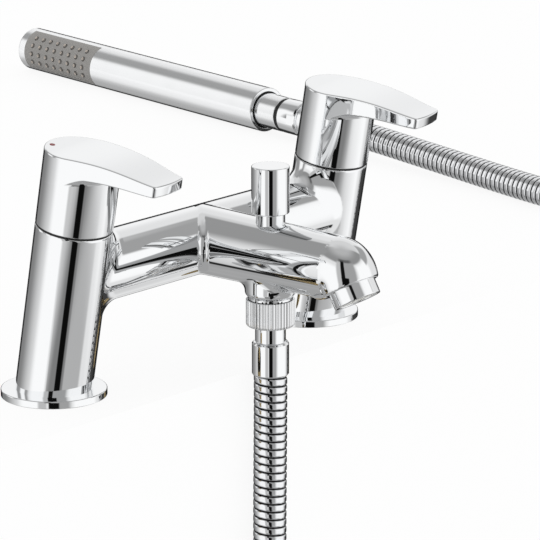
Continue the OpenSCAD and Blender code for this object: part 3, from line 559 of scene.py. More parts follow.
# %% Spout and boss
SPOUT_ROOT_R = 16.5
SPOUT_END_R = 15.1
SPOUT_END_Y = -94.5
NOSE_BEND_R = 5.4
NOSE_BEND = math.radians(75)
NOSE_END_R = 14.4
SPOUT_Y = -90
NOSE_R = 14.6
NOSE_TURN = math.radians(60)
MOUTH_EDGE = 0.8
THROAT_BELOW = 6
THROAT_FILLET = 5
THROAT_GAIN = 50
BOSS_R = 12
BOSS_Z = 37
BOSS_LIFT = 0.8
BOSS_EDGE = 2.6
BOSS_BAND_R = 10.6
BOSS_BAND_DROP = 0.45
BOSS_BAND_EDGE = 0.05

NOSE_DROP = NOSE_R * (1 - math.cos(NOSE_TURN))
NOSE_END = np.array([0, SPOUT_Y - NOSE_R * math.sin(NOSE_TURN), BRIDGE_Z - NOSE_DROP])
NOSE_WAY = np.array([0, -math.cos(NOSE_TURN), -math.sin(NOSE_TURN)])


def spout_field(points):
    x, y, z = points.T
    share = np.clip((y - BRIDGE_Y) / (SPOUT_END_Y - BRIDGE_Y), 0, 1)
    radius = SPOUT_ROOT_R + (SPOUT_END_R - SPOUT_ROOT_R) * share
    reach = np.hypot(x, z - BRIDGE_Z) + SPECK
    normal = np.stack([x / reach, np.zeros(len(points)), (z - BRIDGE_Z) / reach], -1)
    tube = np.maximum(np.maximum(reach - radius, y - BRIDGE_Y), SPOUT_END_Y - y)
    turn = np.clip(np.arctan2(SPOUT_END_Y - y, z - BRIDGE_Z + NOSE_BEND_R), 0, NOSE_BEND)
    to_y = y - SPOUT_END_Y + NOSE_BEND_R * np.sin(turn)
    to_z = z - BRIDGE_Z + NOSE_BEND_R * (1 - np.cos(turn))
    nose_r = SPOUT_END_R + (NOSE_END_R - SPOUT_END_R) * turn / NOSE_BEND
    ball = np.sqrt(x ** 2 + to_y ** 2 + to_z ** 2) + SPECK
    alike = (normal[:, 0] * x + normal[:, 2] * to_z) / ball
    throat = np.clip((BRIDGE_Z - THROAT_BELOW - z) / THROAT_BELOW, 0, 1)
    soft = throat * np.minimum(THROAT_GAIN * np.clip(1 - alike, 0, 1), THROAT_FILLET) + LEAST_FILLET
    body = fillet_join(tube, ball - nose_r, soft)
    mouth = (points - NOSE_END) @ NOSE_WAY
    return round_cut(body, mouth, MOUTH_EDGE), normal


def boss_field(points):
    x = points[:, 0]
    y = points[:, 1] - OUTLET_Y
    z = points[:, 2]
    reach = np.hypot(x, y) + SPECK
    normal = np.stack([x / reach, y / reach, np.zeros(len(points))], -1)
    wall = round_cut(reach - BOSS_R, BOSS_Z + BOSS_LIFT - z, BOSS_EDGE)
    band = round_cut(reach - BOSS_BAND_R, BOSS_Z - BOSS_BAND_DROP - z, BOSS_BAND_EDGE)
    return np.maximum(np.minimum(wall, band), z - BRIDGE_Z), normal


print("the spout's mouth is", round(NOSE_END[2], 2), "mm above the deck")

# %% [markdown]
# ## One casting
# The tubes are joined in turn: the boss to the spout, the spout to the bridge, and the two pillars last.
# Meshes pushed into each other would look nearly the same in grey, but chrome would show a hard line at each
# meeting. The net's cells are 0.8 mm wide.

# %% The whole casting
BOSS_FILLET = 4.5
SPOUT_FILLET = 4.0
PILLAR_FILLET = 11.0
CASTING_LOW = (-110, -122, 2)
CASTING_HIGH = (110, 22, 84)
CASTING_NET = 0.8


def casting_field(points):
    bridge, bridge_normal = bridge_field(points)
    spout, spout_normal = spout_field(points)
    boss, boss_normal = boss_field(points)
    spout = fillet_join(spout, boss, meeting(spout_normal, boss_normal, BOSS_FILLET))
    whole = fillet_join(bridge, spout, meeting(bridge_normal, spout_normal, SPOUT_FILLET))
    for side in (-1, 1):
        pillar, pillar_normal = pillar_field(points, side)
        whole = fillet_join(whole, pillar, meeting(bridge_normal, pillar_normal, PILLAR_FILLET))
    return whole


casting = make_piece("mixer_casting", *net_over(casting_field, CASTING_LOW, CASTING_HIGH, CASTING_NET))
fit(casting, "mixer", "chrome", chrome, "body_casting")

# %% [markdown]
# ## The lever handles
# Each handle is a round cap that runs out into a leaf-shaped lever. Seen from above, two straight sides leave
# the round cap and end in a short arc at the tip. The lever is arched by less than two millimetres. Its
# underside rises a little towards the tip and flows into the cap in a small fillet. An extruded outline would
# have no such flow, so the same net of quads is used, with one height field more. Both levers are one net,
# carried to each pillar.

# %% Lever handles
HANDLE_GAP = 0.6
HANDLE_H = 36
LEVER_REACH = 49.2
LEVER_TIP_W = 21.6
LEVER_ROOT_T = 8.4
LEVER_TIP_T = 5.2
LEVER_ARCH = 1.8
ARCH_START = 8
LEVER_TURN = {"hot": math.radians(6.6), "cold": math.radians(10.1)}
SIDES = {"hot": -1, "cold": 1}
TIP_EDGE = 1.2
UNDER_FILLET = 3.0
UNDER_EDGE = 0.7
UNDER_EDGE_RUN = 3
LEAST_EDGE = 0.001
TOP_EDGE = 0.9
BASE_EDGE = 0.4
LEVER_NET = 0.33

HANDLE_BASE = PILLAR_L + HANDLE_GAP
HANDLE_TOP = HANDLE_BASE + HANDLE_H
TIP_Y = math.sqrt(LEVER_REACH ** 2 - (LEVER_TIP_W / 2) ** 2)
SIDE_ANGLE = math.atan2(LEVER_TIP_W / 2, TIP_Y) + math.acos(PILLAR_R / LEVER_REACH)
LEVER_LOW = (-19, -51, HANDLE_BASE - 1)
LEVER_HIGH = (19, 19, HANDLE_TOP + 3)


def lever_rise(y):
    along = np.clip((ARCH_START - y) / (ARCH_START + LEVER_REACH), 0, 1)
    return LEVER_ARCH * (4 * along * (1 - along)) ** 2


def lever_field(points):
    x, y, h = points.T
    reach = np.hypot(x, y)
    aside = np.abs(x)
    past = -aside * math.cos(SIDE_ANGLE) - y * math.sin(SIDE_ANGLE)
    straight = aside * math.sin(SIDE_ANGLE) - y * math.cos(SIDE_ANGLE) - PILLAR_R
    sides = np.where(past > 0, straight, reach - PILLAR_R)
    outline = round_cut(sides, reach - LEVER_REACH, TIP_EDGE)
    along = np.clip((-y - PILLAR_R) / (LEVER_REACH - PILLAR_R), -1, 1)
    top = HANDLE_TOP + lever_rise(y)
    under = top - LEVER_ROOT_T + (LEVER_ROOT_T - LEVER_TIP_T) * along
    stem = fillet_join(reach - PILLAR_R, under - h, UNDER_FILLET)
    edge = UNDER_EDGE * np.clip((reach - PILLAR_R) / UNDER_EDGE_RUN, 0, 1) + LEAST_EDGE
    body = round_cut(outline, stem, edge)
    return round_cut(round_cut(body, h - top, TOP_EDGE), HANDLE_BASE - h, BASE_EDGE)


lever_net, lever_faces, lever_normals = net_over(lever_field, LEVER_LOW, LEVER_HIGH, LEVER_NET)
for name, side in SIDES.items():
    place = pillar_place(side) @ Matrix.Rotation(LEVER_TURN[name], 4, "Z")
    points, normals = moved(lever_net, lever_normals, place)
    lever = make_piece(f"{name}_lever_handle", points, lever_faces, normals)
    fit(lever, f"{name}_control", "chrome", chrome, f"{name}_handle")

# %% [markdown]
# ## A lathe
# Flanges, knob, neck, sleeves, outlet ring and handset were turned on a lathe, so they are made that way: a
# profile is spun round an axis. A Bevel modifier on a cylinder would round all its edges alike. Here each
# corner of the profile is a radius, a height and its own small rounding. The rounding gives every edge the
# bright line that a real edge catches, and the exact normals keep flat faces flat in the reflection.

# %% Lathe
ARC_STEPS = 6
TURN_SEGMENTS = 144
ON_AXIS = 1e-6


def rounded_profile(corners):
    rows = []
    last = len(corners) - 1
    for k, (r, z, rounding) in enumerate(corners):
        here = np.array([r, z], float)
        before = here - corners[k - 1][:2] if k > 0 else None
        after = np.array(corners[k + 1][:2]) - here if k < last else None
        ways = [way / np.linalg.norm(way) for way in (before, after) if way is not None]
        sides = [np.array([way[1], -way[0]]) for way in ways]
        if len(ways) == 1:
            rows.append((*here, *sides[0]))
            continue
        bend = ways[0][0] * ways[1][1] - ways[0][1] * ways[1][0]
        turn = math.acos(max(-1, min(1, float(ways[0] @ ways[1]))))
        start = here - ways[0] * rounding * math.tan(turn / 2)
        bulge = math.copysign(rounding, bend)
        centre = start - bulge * sides[0]
        for t in np.linspace(0, 1, ARC_STEPS):
            side = sides[0] * (1 - t) + sides[1] * t
            side /= np.linalg.norm(side)
            rows.append((*(centre + bulge * side), *side))
    return np.array(rows)


def turned(name, corners, place, segments=TURN_SEGMENTS):
    angles = np.linspace(0, 2 * math.pi, segments, endpoint=False)
    ring = np.stack([np.cos(angles), np.sin(angles)], -1)
    points, normals, rings = [], [], []
    for r, z, side_r, side_z in rounded_profile(corners):
        if r < ON_AXIS:
            rings.append([len(points)] * segments)
            points.append((0, 0, z))
            normals.append((0, 0, math.copysign(1, side_z)))
        else:
            rings.append(list(range(len(points), len(points) + segments)))
            points.extend(np.column_stack([r * ring, np.full(segments, z)]).tolist())
            normals.extend(np.column_stack([side_r * ring, np.full(segments, side_z)]).tolist())
    faces = []
    for low, high in zip(rings[:-1], rings[1:]):
        for k in range(segments):
            n = (k + 1) % segments
            corner = (low[k], low[n], high[n], high[k])
            faces.append([v for i, v in enumerate(corner) if v not in corner[:i]])
    points, normals = moved(np.array(points), np.array(normals), place)
    return make_piece(name, points, faces, normals)


print("the lathe turns in", TURN_SEGMENTS, "steps and rounds a corner with", ARC_STEPS, "points")

# %% [markdown]
# ## Seam rings and the red mark
# Under each cap is a gap of 0.6 mm, and a black ring of painted shade sits in it: it stands for the shade
# deep in the gap. Painting a dark line on the pillar would look flat from close by, so the painted shade is a
# ring that has depth, set back a little. The red mark for hot is a drop of enamel in the cap's top, slightly
# proud of it.

# %% Seam rings and the red mark
CAP_SHADE_IN_R = 14
CAP_SHADE_R = 17.65
CAP_SHADE_LOW = PILLAR_L - 0.1
CAP_SHADE_HIGH = HANDLE_BASE - 0.05
MARK_R = 1.3
MARK_IN = 3.4
MARK_TURN = math.radians(26)
MARK_SINK = 0.8
MARK_SEGMENTS = 48

for name, side in SIDES.items():
    # A black ring of painted shade, which stands for the shade deep in the gap under the cap
    cap_shade_ring = turned(f"{name}_cap_shade_ring", [
        (CAP_SHADE_IN_R, CAP_SHADE_LOW, 0), (CAP_SHADE_R, CAP_SHADE_LOW, 0.05), (CAP_SHADE_R, CAP_SHADE_HIGH, 0.05),
        (CAP_SHADE_IN_R, CAP_SHADE_HIGH, 0.05), (CAP_SHADE_IN_R, CAP_SHADE_LOW, 0)], pillar_place(side))
    fit(cap_shade_ring, "mixer", "black_rubber", black_rubber)

mark_place = (pillar_place(SIDES["hot"]) @ Matrix.Rotation(LEVER_TURN["hot"] + MARK_TURN, 4, "Z")
              @ Matrix.Translation((0, PILLAR_R - MARK_IN, HANDLE_TOP)))
mark = turned("hot_mark", [
    (0, -MARK_SINK, 0), (MARK_R, -MARK_SINK, 0.05), (MARK_R, 0.12, 0.1), (0, 0.16, 0)],
    mark_place, segments=MARK_SEGMENTS)
fit(mark, "hot_control", "hot_red", red_enamel, "hot_indicator")

# %% [markdown]
# ## Foot flanges, diverter knob and outlet ring
# The flanges cover the holes in the deck. The knob is pulled up to send the water to the handset, and it
# stands on a short neck that is screwed into the spout. The ring at the spout's mouth holds the aerator. All
# are plain turned pieces, so the lathe makes them from four or five corners each.

# %% Foot flanges, knob and outlet ring
FLANGE_R = 24.5
KNOB_R = 8.9
KNOB_H = 22.2
NECK_R = 6.9
NECK_LOW_Z = 65.5
NECK_TOP_Z = 77.5
KNOB_LOW_Z = NECK_TOP_Z + 0.3
KNOB_TOP_Z = KNOB_LOW_Z + KNOB_H
RING_R = 11.2
RING_IN_R = RING_R - 2
RING_OUT = 7
RING_SINK = 6

for name, side in SIDES.items():
    foot = turned(f"{name}_foot_flange", [
        (0, 0, 0), (FLANGE_R, 0, 0.3), (FLANGE_R, FLANGE_T, 0.6), (0, FLANGE_T, 0)],
        Matrix.Translation((side * INLET_X, 0, 0)))
    fit(foot, "mixer", "chrome", chrome, f"{name}_flange")

outlet_place = Matrix.Translation((0, OUTLET_Y, 0))
knob = turned("diverter_pull", [
    (0, KNOB_LOW_Z, 0), (KNOB_R, KNOB_LOW_Z, 0.5), (KNOB_R, KNOB_TOP_Z, 0.6), (0, KNOB_TOP_Z, 0)],
    outlet_place)
fit(knob, "diverter", "chrome", chrome, "diverter_knob")
neck = turned("diverter_neck", [
    (0, NECK_LOW_Z, 0), (NECK_R, NECK_LOW_Z, 0.3), (NECK_R, NECK_TOP_Z, 0.4), (0, NECK_TOP_Z, 0)],
    outlet_place)
fit(neck, "mixer", "chrome", chrome, "diverter_bush")

nose_place = Matrix.Translation(Vector(NOSE_END)) @ Matrix.Rotation(math.pi / 2 + NOSE_TURN, 4, "X")
outlet_ring = turned("spout_outlet_ring", [
    (RING_IN_R, -RING_SINK, 0), (RING_R, -RING_SINK, 0.3), (RING_R, RING_OUT, 0.5),
    (RING_IN_R, RING_OUT, 0.5), (RING_IN_R, 0.1 - RING_SINK, 0)], nose_place)
fit(outlet_ring, "mixer", "chrome", chrome, "aerator_housing")

# %% [markdown]
# ## The knurled hose nut
# The nut under the boss is turned and then knurled with straight ridges so that wet fingers can grip it. An
# array of small bars would stand on the nut instead of being cut into it. The grooves repeat round a circle,
# so Geometry Nodes press them into a smooth blank by one rule of the angle. A thin black ring of painted
# shade fills the gap between the nut and the boss and stands for the shade in that seam.

# %% Hose nut with its knurl
NUT_R = 11.5
NUT_LOW = 23.5
NUT_HIGH = 36.5
NUT_BORE_R = 7.3
NUT_SEAT_R = 10.5
KNURL_COUNT = 44
KNURL_DEPTH = 0.4
KNURL_FLOOR = 0.02
KNURL_CREST = 0.4
KNURL_STEPS = 12
KNURL_SKIN = 0.96
NUT_SHARP = math.radians(28)
NUT_SHADE_R = 10.56
NUT_SHADE_IN_R = 9
NUT_SHADE_LOW = NUT_HIGH - 0.1


def drop_normals(piece):
    piece.data.attributes.remove(piece.data.attributes["custom_normal"])


def knurl_groove(tree, given, split):
    angle = add_node(tree, "ShaderNodeMath", {0: split.outputs[1], 1: split.outputs[0]}, operation="ARCTAN2")
    turns = add_node(tree, "ShaderNodeMath", {0: angle.outputs[0], 1: 2 * math.pi}, operation="DIVIDE")
    ridges = add_node(tree, "ShaderNodeMath", {0: turns.outputs[0], 1: given["Ridges"]}, operation="MULTIPLY")
    half = add_node(tree, "ShaderNodeMath", {0: ridges.outputs[0], 1: 0.5}, operation="PINGPONG")
    groove = add_node(tree, "ShaderNodeMapRange", {
        "Value": half.outputs[0], "From Min": KNURL_FLOOR, "From Max": KNURL_CREST, "To Min": 1.0,
        "To Max": 0.0}, interpolation_type="SMOOTHSTEP")
    return groove.outputs[0]


def knurl_tree():
    tree, values, given = open_tree("straight knurl", {
        "Ridges": KNURL_COUNT, "Depth": KNURL_DEPTH * MM, "Outside Radius": NUT_R * MM})
    place = add_node(tree, "GeometryNodeInputPosition")
    split = add_node(tree, "ShaderNodeSeparateXYZ", {0: place.outputs[0]})
    flat = add_node(tree, "ShaderNodeCombineXYZ", {0: split.outputs[0], 1: split.outputs[1], 2: 0.0})
    reach = add_node(tree, "ShaderNodeVectorMath", {0: flat.outputs[0]}, operation="LENGTH")
    groove = knurl_groove(tree, given, split)
    outer = add_node(tree, "ShaderNodeMath", {0: given["Outside Radius"], 1: KNURL_SKIN},
                     operation="MULTIPLY")
    skin = add_node(tree, "ShaderNodeMath", {0: reach.outputs["Value"], 1: outer.outputs[0]},
                    operation="GREATER_THAN")
    depth = add_node(tree, "ShaderNodeMath", {0: groove, 1: given["Depth"]}, operation="MULTIPLY")
    inward = add_node(tree, "ShaderNodeMath", {0: depth.outputs[0], 1: -1.0}, operation="MULTIPLY")
    masked = add_node(tree, "ShaderNodeMath", {0: inward.outputs[0], 1: skin.outputs[0]},
                      operation="MULTIPLY")
    way = add_node(tree, "ShaderNodeVectorMath", {0: flat.outputs[0]}, operation="NORMALIZE")
    push = add_node(tree, "ShaderNodeVectorMath", {0: way.outputs[0], "Scale": masked.outputs[0]},
                    operation="SCALE")
    cut = add_node(tree, "GeometryNodeSetPosition",
                   {"Geometry": given["Geometry"], "Offset": push.outputs[0]})
    close_tree(tree, cut.outputs[0], chrome)
    return tree, values


blank = turned("nut_blank", [
    (NUT_BORE_R, NUT_LOW, 0), (NUT_R, NUT_LOW, 1.6), (NUT_R, NUT_HIGH, 0.4), (NUT_SEAT_R, NUT_HIGH, 0.1),
    (NUT_SEAT_R, NUT_HIGH - 1, 0)], Matrix.Identity(4), segments=KNURL_COUNT * KNURL_STEPS)
drop_normals(blank)
knurl, knurl_values = knurl_tree()
nut = grown(blank, knurl, "hose_nut", knurl_values)
nut.data.transform(Matrix.Translation(Vector((0, OUTLET_Y, 0)) * MM))
nut.data.set_sharp_from_angle(angle=NUT_SHARP)
fit(nut, "mixer", "chrome", chrome, "outlet_nut")
# A thin black ring of painted shade in the seam between the nut and the boss
nut_seam_shade = turned("hose_nut_seam_shade", [
    (NUT_SHADE_IN_R, NUT_SHADE_LOW, 0), (NUT_SHADE_R, NUT_SHADE_LOW, 0.02), (NUT_SHADE_R, BOSS_Z, 0.02), (NUT_SHADE_IN_R, BOSS_Z, 0)],
    outlet_place)
fit(nut_seam_shade, "mixer", "black_rubber", black_rubber)

# %% [markdown]
# ## The sleeves at the hose's ends
# Each end of the hose is gripped by a pressed sleeve with a slimmer neck that the nut turns on. Both sleeves
# are alike, so one function turns them, once at the outlet and once along the handset's axis.

# %% Sleeves at the hose's ends
SLEEVE_R = 8.7
SLEEVE_NECK_R = 7.2
SLEEVE_TOP = 16
OUTLET_NECK_TOP = NUT_LOW + 2
HANDSET_NECK_TOP = 2.5


def hose_sleeve(name, place, neck_top, sleeve_top):
    sleeve_low = sleeve_top - HOSE_SLEEVE_L
    return turned(name, [
        (0, sleeve_low, 0), (SLEEVE_R - 0.4, sleeve_low, 0.2), (SLEEVE_R, sleeve_low + 0.6, 0.3),
        (SLEEVE_R, sleeve_top - 1, 0.6), (SLEEVE_R - 0.7, sleeve_top, 0.3), (SLEEVE_NECK_R, sleeve_top, 0.3),
        (SLEEVE_NECK_R, neck_top, 0.2), (0, neck_top, 0)], place)


handset_place = (Matrix.Translation(HANDSET_NUT_MM) @ Matrix.Rotation(HANDSET_TURN, 4, "Z")
                 @ Matrix.Rotation(-math.pi / 2, 4, "X"))
outlet_sleeve = hose_sleeve("outlet_sleeve", outlet_place, OUTLET_NECK_TOP, SLEEVE_TOP)
fit(outlet_sleeve, "mixer", "chrome", chrome, "outlet_ferrule")
handset_sleeve = hose_sleeve("handset_sleeve", handset_place, HANDSET_NECK_TOP, 0)
fit(handset_sleeve, "mixer", "chrome", chrome, "handset_ferrule")

# %% [markdown]
# ## The handset
# The stick handset is a plated tube with a domed end and a stem that goes into the hose nut. Its plate lies
# on moulded plastic, so it mirrors a little more softly than the casting. The tube and stem come off the
# lathe, one after the other along the same axis.

# %% Handset body
HANDSET_R = 13.3
CONE_NUT_L = 15.5
SEAL_L = 3
STEM_R = 10.3
STEM_IN_R = 9
STEM_START = CONE_NUT_L + SEAL_L
TUBE_START = STEM_START + 18
TUBE_END = TUBE_START + 237
CAP_T = 4
CAP_START = TUBE_END - CAP_T
RIM_IN_R = HANDSET_R - 2.2
RIM_DEEP = TUBE_START + 3
GAP_IN_R = STEM_R - 0.2
GAP_R = RIM_IN_R + 0.1
GAP_LOW = TUBE_START + 1
GAP_HIGH = TUBE_START + 2

# Plate on moulded plastic: the same pale metal with a slight blur, so reflections are soft bands
plated_plastic = polished_metal("chrome plate on moulded plastic", "#f6f7f8", 0.13, 0.17)
shell = turned("handset_shell", [
    (RIM_IN_R, RIM_DEEP, 0), (RIM_IN_R, TUBE_START, 0.3), (HANDSET_R, TUBE_START, 0.7),
    (HANDSET_R, CAP_START, 0.02), (HANDSET_R - 0.2, CAP_START, 0.02), (0, CAP_START, 0)], handset_place)
fit(shell, "handset", "chrome", plated_plastic, "handset_tube")
cap = turned("handset_dome", [
    (0, CAP_START, 0), (HANDSET_R - 0.05, CAP_START, 0.1), (HANDSET_R, TUBE_END, 1.1), (0, TUBE_END, 0)],
    handset_place)
fit(cap, "handset", "chrome", plated_plastic, "handset_end_cap")
stem = turned("handset_stem", [
    (STEM_IN_R, STEM_START, 0), (STEM_R, STEM_START, 0.4), (STEM_R, RIM_DEEP, 0.1),
    (RIM_IN_R - 0.1, RIM_DEEP, 0)], handset_place)
fit(stem, "handset", "chrome", plated_plastic, "handset_neck")
# A black ring of painted shade, set back in the recess between the tube and the stem, where shade falls
gap_shade_ring = turned("handset_gap_shade_ring", [
    (GAP_IN_R, GAP_LOW, 0), (GAP_R, GAP_LOW, 0.05), (GAP_R, GAP_HIGH, 0.05), (GAP_IN_R, GAP_HIGH, 0)],
    handset_place)
fit(gap_shade_ring, "handset", "black_rubber", black_rubber)

# %% [markdown]
# ## The handset's nut
# The nut that holds the hose has two flats for a wrench. A Boolean cut would leave thin triangles along the
# edges, so the flats are milled by moving: points beyond a flat plane are pushed back onto it.

# %% Handset nut with its wrench flats
CONE_SEAT_R = 9.2
FLAT_TURN = math.radians(187)
FLAT_DEPTH = 0.6
FLAT_L = 7
FLAT_SHARP = math.radians(16)


def mill_flats(piece):
    back = handset_place.inverted()
    for vertex in piece.data.vertices:
        at = back @ (vertex.co / MM)
        for way in (FLAT_TURN, FLAT_TURN + math.pi):
            out = Vector((math.cos(way), math.sin(way), 0))
            over = at.dot(out) - (STEM_R - FLAT_DEPTH)
            if at.z < FLAT_L and over > 0:
                vertex.co = handset_place @ (at - over * out) * MM
    drop_normals(piece)
    piece.data.set_sharp_from_angle(angle=FLAT_SHARP)


cone_nut = turned("handset_hose_nut", [
    (NUT_BORE_R, 0, 0), (STEM_R - 1, 0, 0.4), (STEM_R, 1.2, 0.4), (STEM_R, FLAT_L - 0.1, 0),
    (STEM_R, FLAT_L, 0), (STEM_R, CONE_NUT_L, 0.4), (CONE_SEAT_R, CONE_NUT_L, 0.05),
    (CONE_SEAT_R, CONE_NUT_L - 2, 0)], handset_place)
mill_flats(cone_nut)
fit(cone_nut, "mixer", "chrome", chrome, "handset_nut")

# %% [markdown]
# ## The spray face
# A soft grey silicone face is let into the side of the tube. A flat grid could be bent with a Simple Deform
# modifier, but the strip is so plain that its points are simply placed on the tube's curve, on the inside and
# the outside, and closed at the edges. The same silicone forms the nozzles, so one finish serves both: by two
# attributes that the nozzles carry, it turns dark with painted shade at their feet, sides and holes, and pale
# with a painted highlight on their tips.

# %% Spray face
FACE_TURN = math.radians(193)
FACE_ARC = math.radians(122)
FACE_L = 70
FACE_START = TUBE_END - 7 - FACE_L
FACE_R = HANDSET_R + 0.12
FACE_T = 0.6
FACE_ROWS = 48
FACE_SHARP = math.radians(40)
SILICONE_GRAIN = 0.6
SILICONE_ROUGH = 0.55


# Moulded silicone: a dull warm grey with a fine grain, against which the chrome looks brighter
# The real grain is finer still, and it is drawn coarser so that it shows
def spray_rubber():
    material, tree, shader = new_material("grey silicone rubber")
    grain = cloud(tree, SILICONE_GRAIN, 0.0, 1.0)
    colour = add_node(tree, "ShaderNodeMix", {"Factor": grain}, data_type="RGBA")
    colour.inputs["A"].default_value = linear("#8c8a87")
    colour.inputs["B"].default_value = linear("#969491")
    # Painted shade darkens the nozzles' feet, sides and holes, and a painted highlight makes their tips pale
    for place, tint in (("hollow", "#3a332d"), ("tip", "#c4b8ac")):
        mask = add_node(tree, "ShaderNodeAttribute", attribute_name=place)
        tinted = add_node(tree, "ShaderNodeMix", {"Factor": mask.outputs["Fac"]}, data_type="RGBA")
        tree.links.new(colour.outputs["Result"], tinted.inputs["A"])
        tinted.inputs["B"].default_value = linear(tint)
        colour = tinted
    tree.links.new(colour.outputs["Result"], shader.inputs["Base Color"])
    shader.inputs["Roughness"].default_value = SILICONE_ROUGH
    return material


def bent_strip(name, radius, thickness):
    angles = FACE_TURN + FACE_ARC * (np.linspace(0, 1, FACE_ROWS) - 0.5)
    points, faces = [], []
    for r in (radius - thickness, radius):
        for z in (FACE_START, FACE_START + FACE_L):
            points.extend((r * math.cos(a), r * math.sin(a), z) for a in angles)
    in_low, in_high, out_low, out_high = (range(k * FACE_ROWS, (k + 1) * FACE_ROWS) for k in range(4))
    for k in range(FACE_ROWS - 1):
        faces.append((out_low[k], out_low[k + 1], out_high[k + 1], out_high[k]))
        faces.append((in_low[k], in_high[k], in_high[k + 1], in_low[k + 1]))
        faces.append((in_low[k], in_low[k + 1], out_low[k + 1], out_low[k]))
        faces.append((in_high[k], out_high[k], out_high[k + 1], in_high[k + 1]))
    for k in (0, FACE_ROWS - 1):
        end = (in_low[k], out_low[k], out_high[k], in_high[k])
        faces.append(end if k == 0 else end[::-1])
    points = np.array(points)
    points, _ = moved(points, points, handset_place)
    strip_piece = make_piece(name, points, faces)
    strip_piece.data.set_sharp_from_angle(angle=FACE_SHARP)
    return strip_piece


grey_rubber = spray_rubber()
face = bent_strip("spray_panel", FACE_R, FACE_T)
fit(face, "handset", "spray_rubber", grey_rubber, "spray_face")

# %% [markdown]
# ## The nozzles
# Four rows of eight soft nozzles stand on the face. They could be placed one by one in a loop, but nodes do
# it by rule: a flat grid of points is bent round the tube, each point remembers which way is outwards, and
# one nozzle is set on each point. A nozzle is a small cone on a foot of painted shade, its side half darkened
# as painted shade, with a painted highlight on its tip and a dot of painted shade where its hole would be.

# %% Nozzles
NOZZLE_ROWS = 4
NOZZLE_COUNT = 8
NOZZLE_R = 1.25
NOZZLE_TOP_R = NOZZLE_R * 0.72
NOZZLE_OUT = 0.9
NOZZLE_SIDES = 20
NOZZLE_SHADE = 0.5
NOZZLE_MARGIN_ARC = math.radians(54)
NOZZLE_MARGIN_L = 16
# A dark foot and a dark dot on the tip are painted shade, and the pale disc on the tip is a painted highlight
NOZZLE_DISCS = [
    ("hollow", NOZZLE_R * 1.25, 0.16), ("tip", NOZZLE_R * 0.68, NOZZLE_OUT + 0.02),
    ("hollow", NOZZLE_R * 0.24, NOZZLE_OUT + 0.04),
]


def bent_points(tree, given):
    field = add_node(tree, "GeometryNodeMeshGrid", {
        "Size X": FACE_ARC - NOZZLE_MARGIN_ARC, "Size Y": (FACE_L - NOZZLE_MARGIN_L) * MM,
        "Vertices X": given["Rows"], "Vertices Y": given["In a Row"]})
    place = add_node(tree, "GeometryNodeInputPosition")
    split = add_node(tree, "ShaderNodeSeparateXYZ", {0: place.outputs[0]})
    angle = add_node(tree, "ShaderNodeMath", {0: split.outputs[0], 1: FACE_TURN}, operation="ADD")
    cosine = add_node(tree, "ShaderNodeMath", {0: angle.outputs[0]}, operation="COSINE")
    sine = add_node(tree, "ShaderNodeMath", {0: angle.outputs[0]}, operation="SINE")
    outward = add_node(tree, "ShaderNodeCombineXYZ", {0: cosine.outputs[0], 1: sine.outputs[0], 2: 0.0})
    reach = add_node(tree, "ShaderNodeVectorMath", {0: outward.outputs[0], "Scale": given["Tube Radius"]},
                     operation="SCALE")
    lift = add_node(tree, "ShaderNodeMath", {0: split.outputs[1], 1: (FACE_START + FACE_L / 2) * MM},
                    operation="ADD")
    raised = add_node(tree, "ShaderNodeCombineXYZ", {0: 0.0, 1: 0.0, 2: lift.outputs[0]})
    spot = add_node(tree, "ShaderNodeVectorMath", {0: reach.outputs[0], 1: raised.outputs[0]},
                    operation="ADD")
    kept = add_node(tree, "GeometryNodeStoreNamedAttribute",
                    {"Geometry": field.outputs[0], "Name": "way", "Value": outward.outputs[0]},
                    data_type="FLOAT_VECTOR", domain="POINT")
    return add_node(tree, "GeometryNodeSetPosition",
                    {"Geometry": kept.outputs[0], "Position": spot.outputs[0]}).outputs[0]


def one_nozzle(tree):
    cone = add_node(tree, "GeometryNodeMeshCone", {
        "Vertices": NOZZLE_SIDES, "Radius Top": NOZZLE_TOP_R * MM, "Radius Bottom": NOZZLE_R * MM,
        "Depth": NOZZLE_OUT * MM})
    flat = add_node(tree, "GeometryNodeSetShadeSmooth", {"Geometry": cone.outputs[0], "Shade Smooth": False})
    # Half the painted shade on the cone's side, so that it reads darker than the face
    shaded = add_node(tree, "GeometryNodeStoreNamedAttribute",
                      {"Geometry": flat.outputs[0], "Name": "hollow", "Value": NOZZLE_SHADE},
                      data_type="FLOAT", domain="POINT")
    nozzle = add_node(tree, "GeometryNodeJoinGeometry", {0: shaded.outputs[0]})
    for tint, radius, height in NOZZLE_DISCS:
        disc = add_node(tree, "GeometryNodeMeshCircle", {"Vertices": NOZZLE_SIDES, "Radius": radius * MM},
                        fill_type="NGON")
        marked = add_node(tree, "GeometryNodeStoreNamedAttribute",
                          {"Geometry": disc.outputs[0], "Name": tint, "Value": 1.0},
                          data_type="FLOAT", domain="POINT")
        set_on = add_node(tree, "GeometryNodeTransform",
                          {"Geometry": marked.outputs[0], "Translation": (0, 0, height * MM)})
        tree.links.new(set_on.outputs[0], nozzle.inputs[0])
    return nozzle.outputs[0]


def nozzle_tree():
    tree, values, given = open_tree("nozzle field", {
        "Rows": NOZZLE_ROWS, "In a Row": NOZZLE_COUNT, "Tube Radius": HANDSET_R * MM})
    way = add_node(tree, "GeometryNodeInputNamedAttribute", {"Name": "way"}, data_type="FLOAT_VECTOR")
    stand = add_node(tree, "FunctionNodeAlignRotationToVector", {"Vector": way.outputs[0]}, axis="Z")
    placed = add_node(tree, "GeometryNodeInstanceOnPoints", {
        "Points": bent_points(tree, given), "Instance": one_nozzle(tree), "Rotation": stand.outputs[0]})
    close_tree(tree, placed.outputs[0], grey_rubber)
    return tree, values


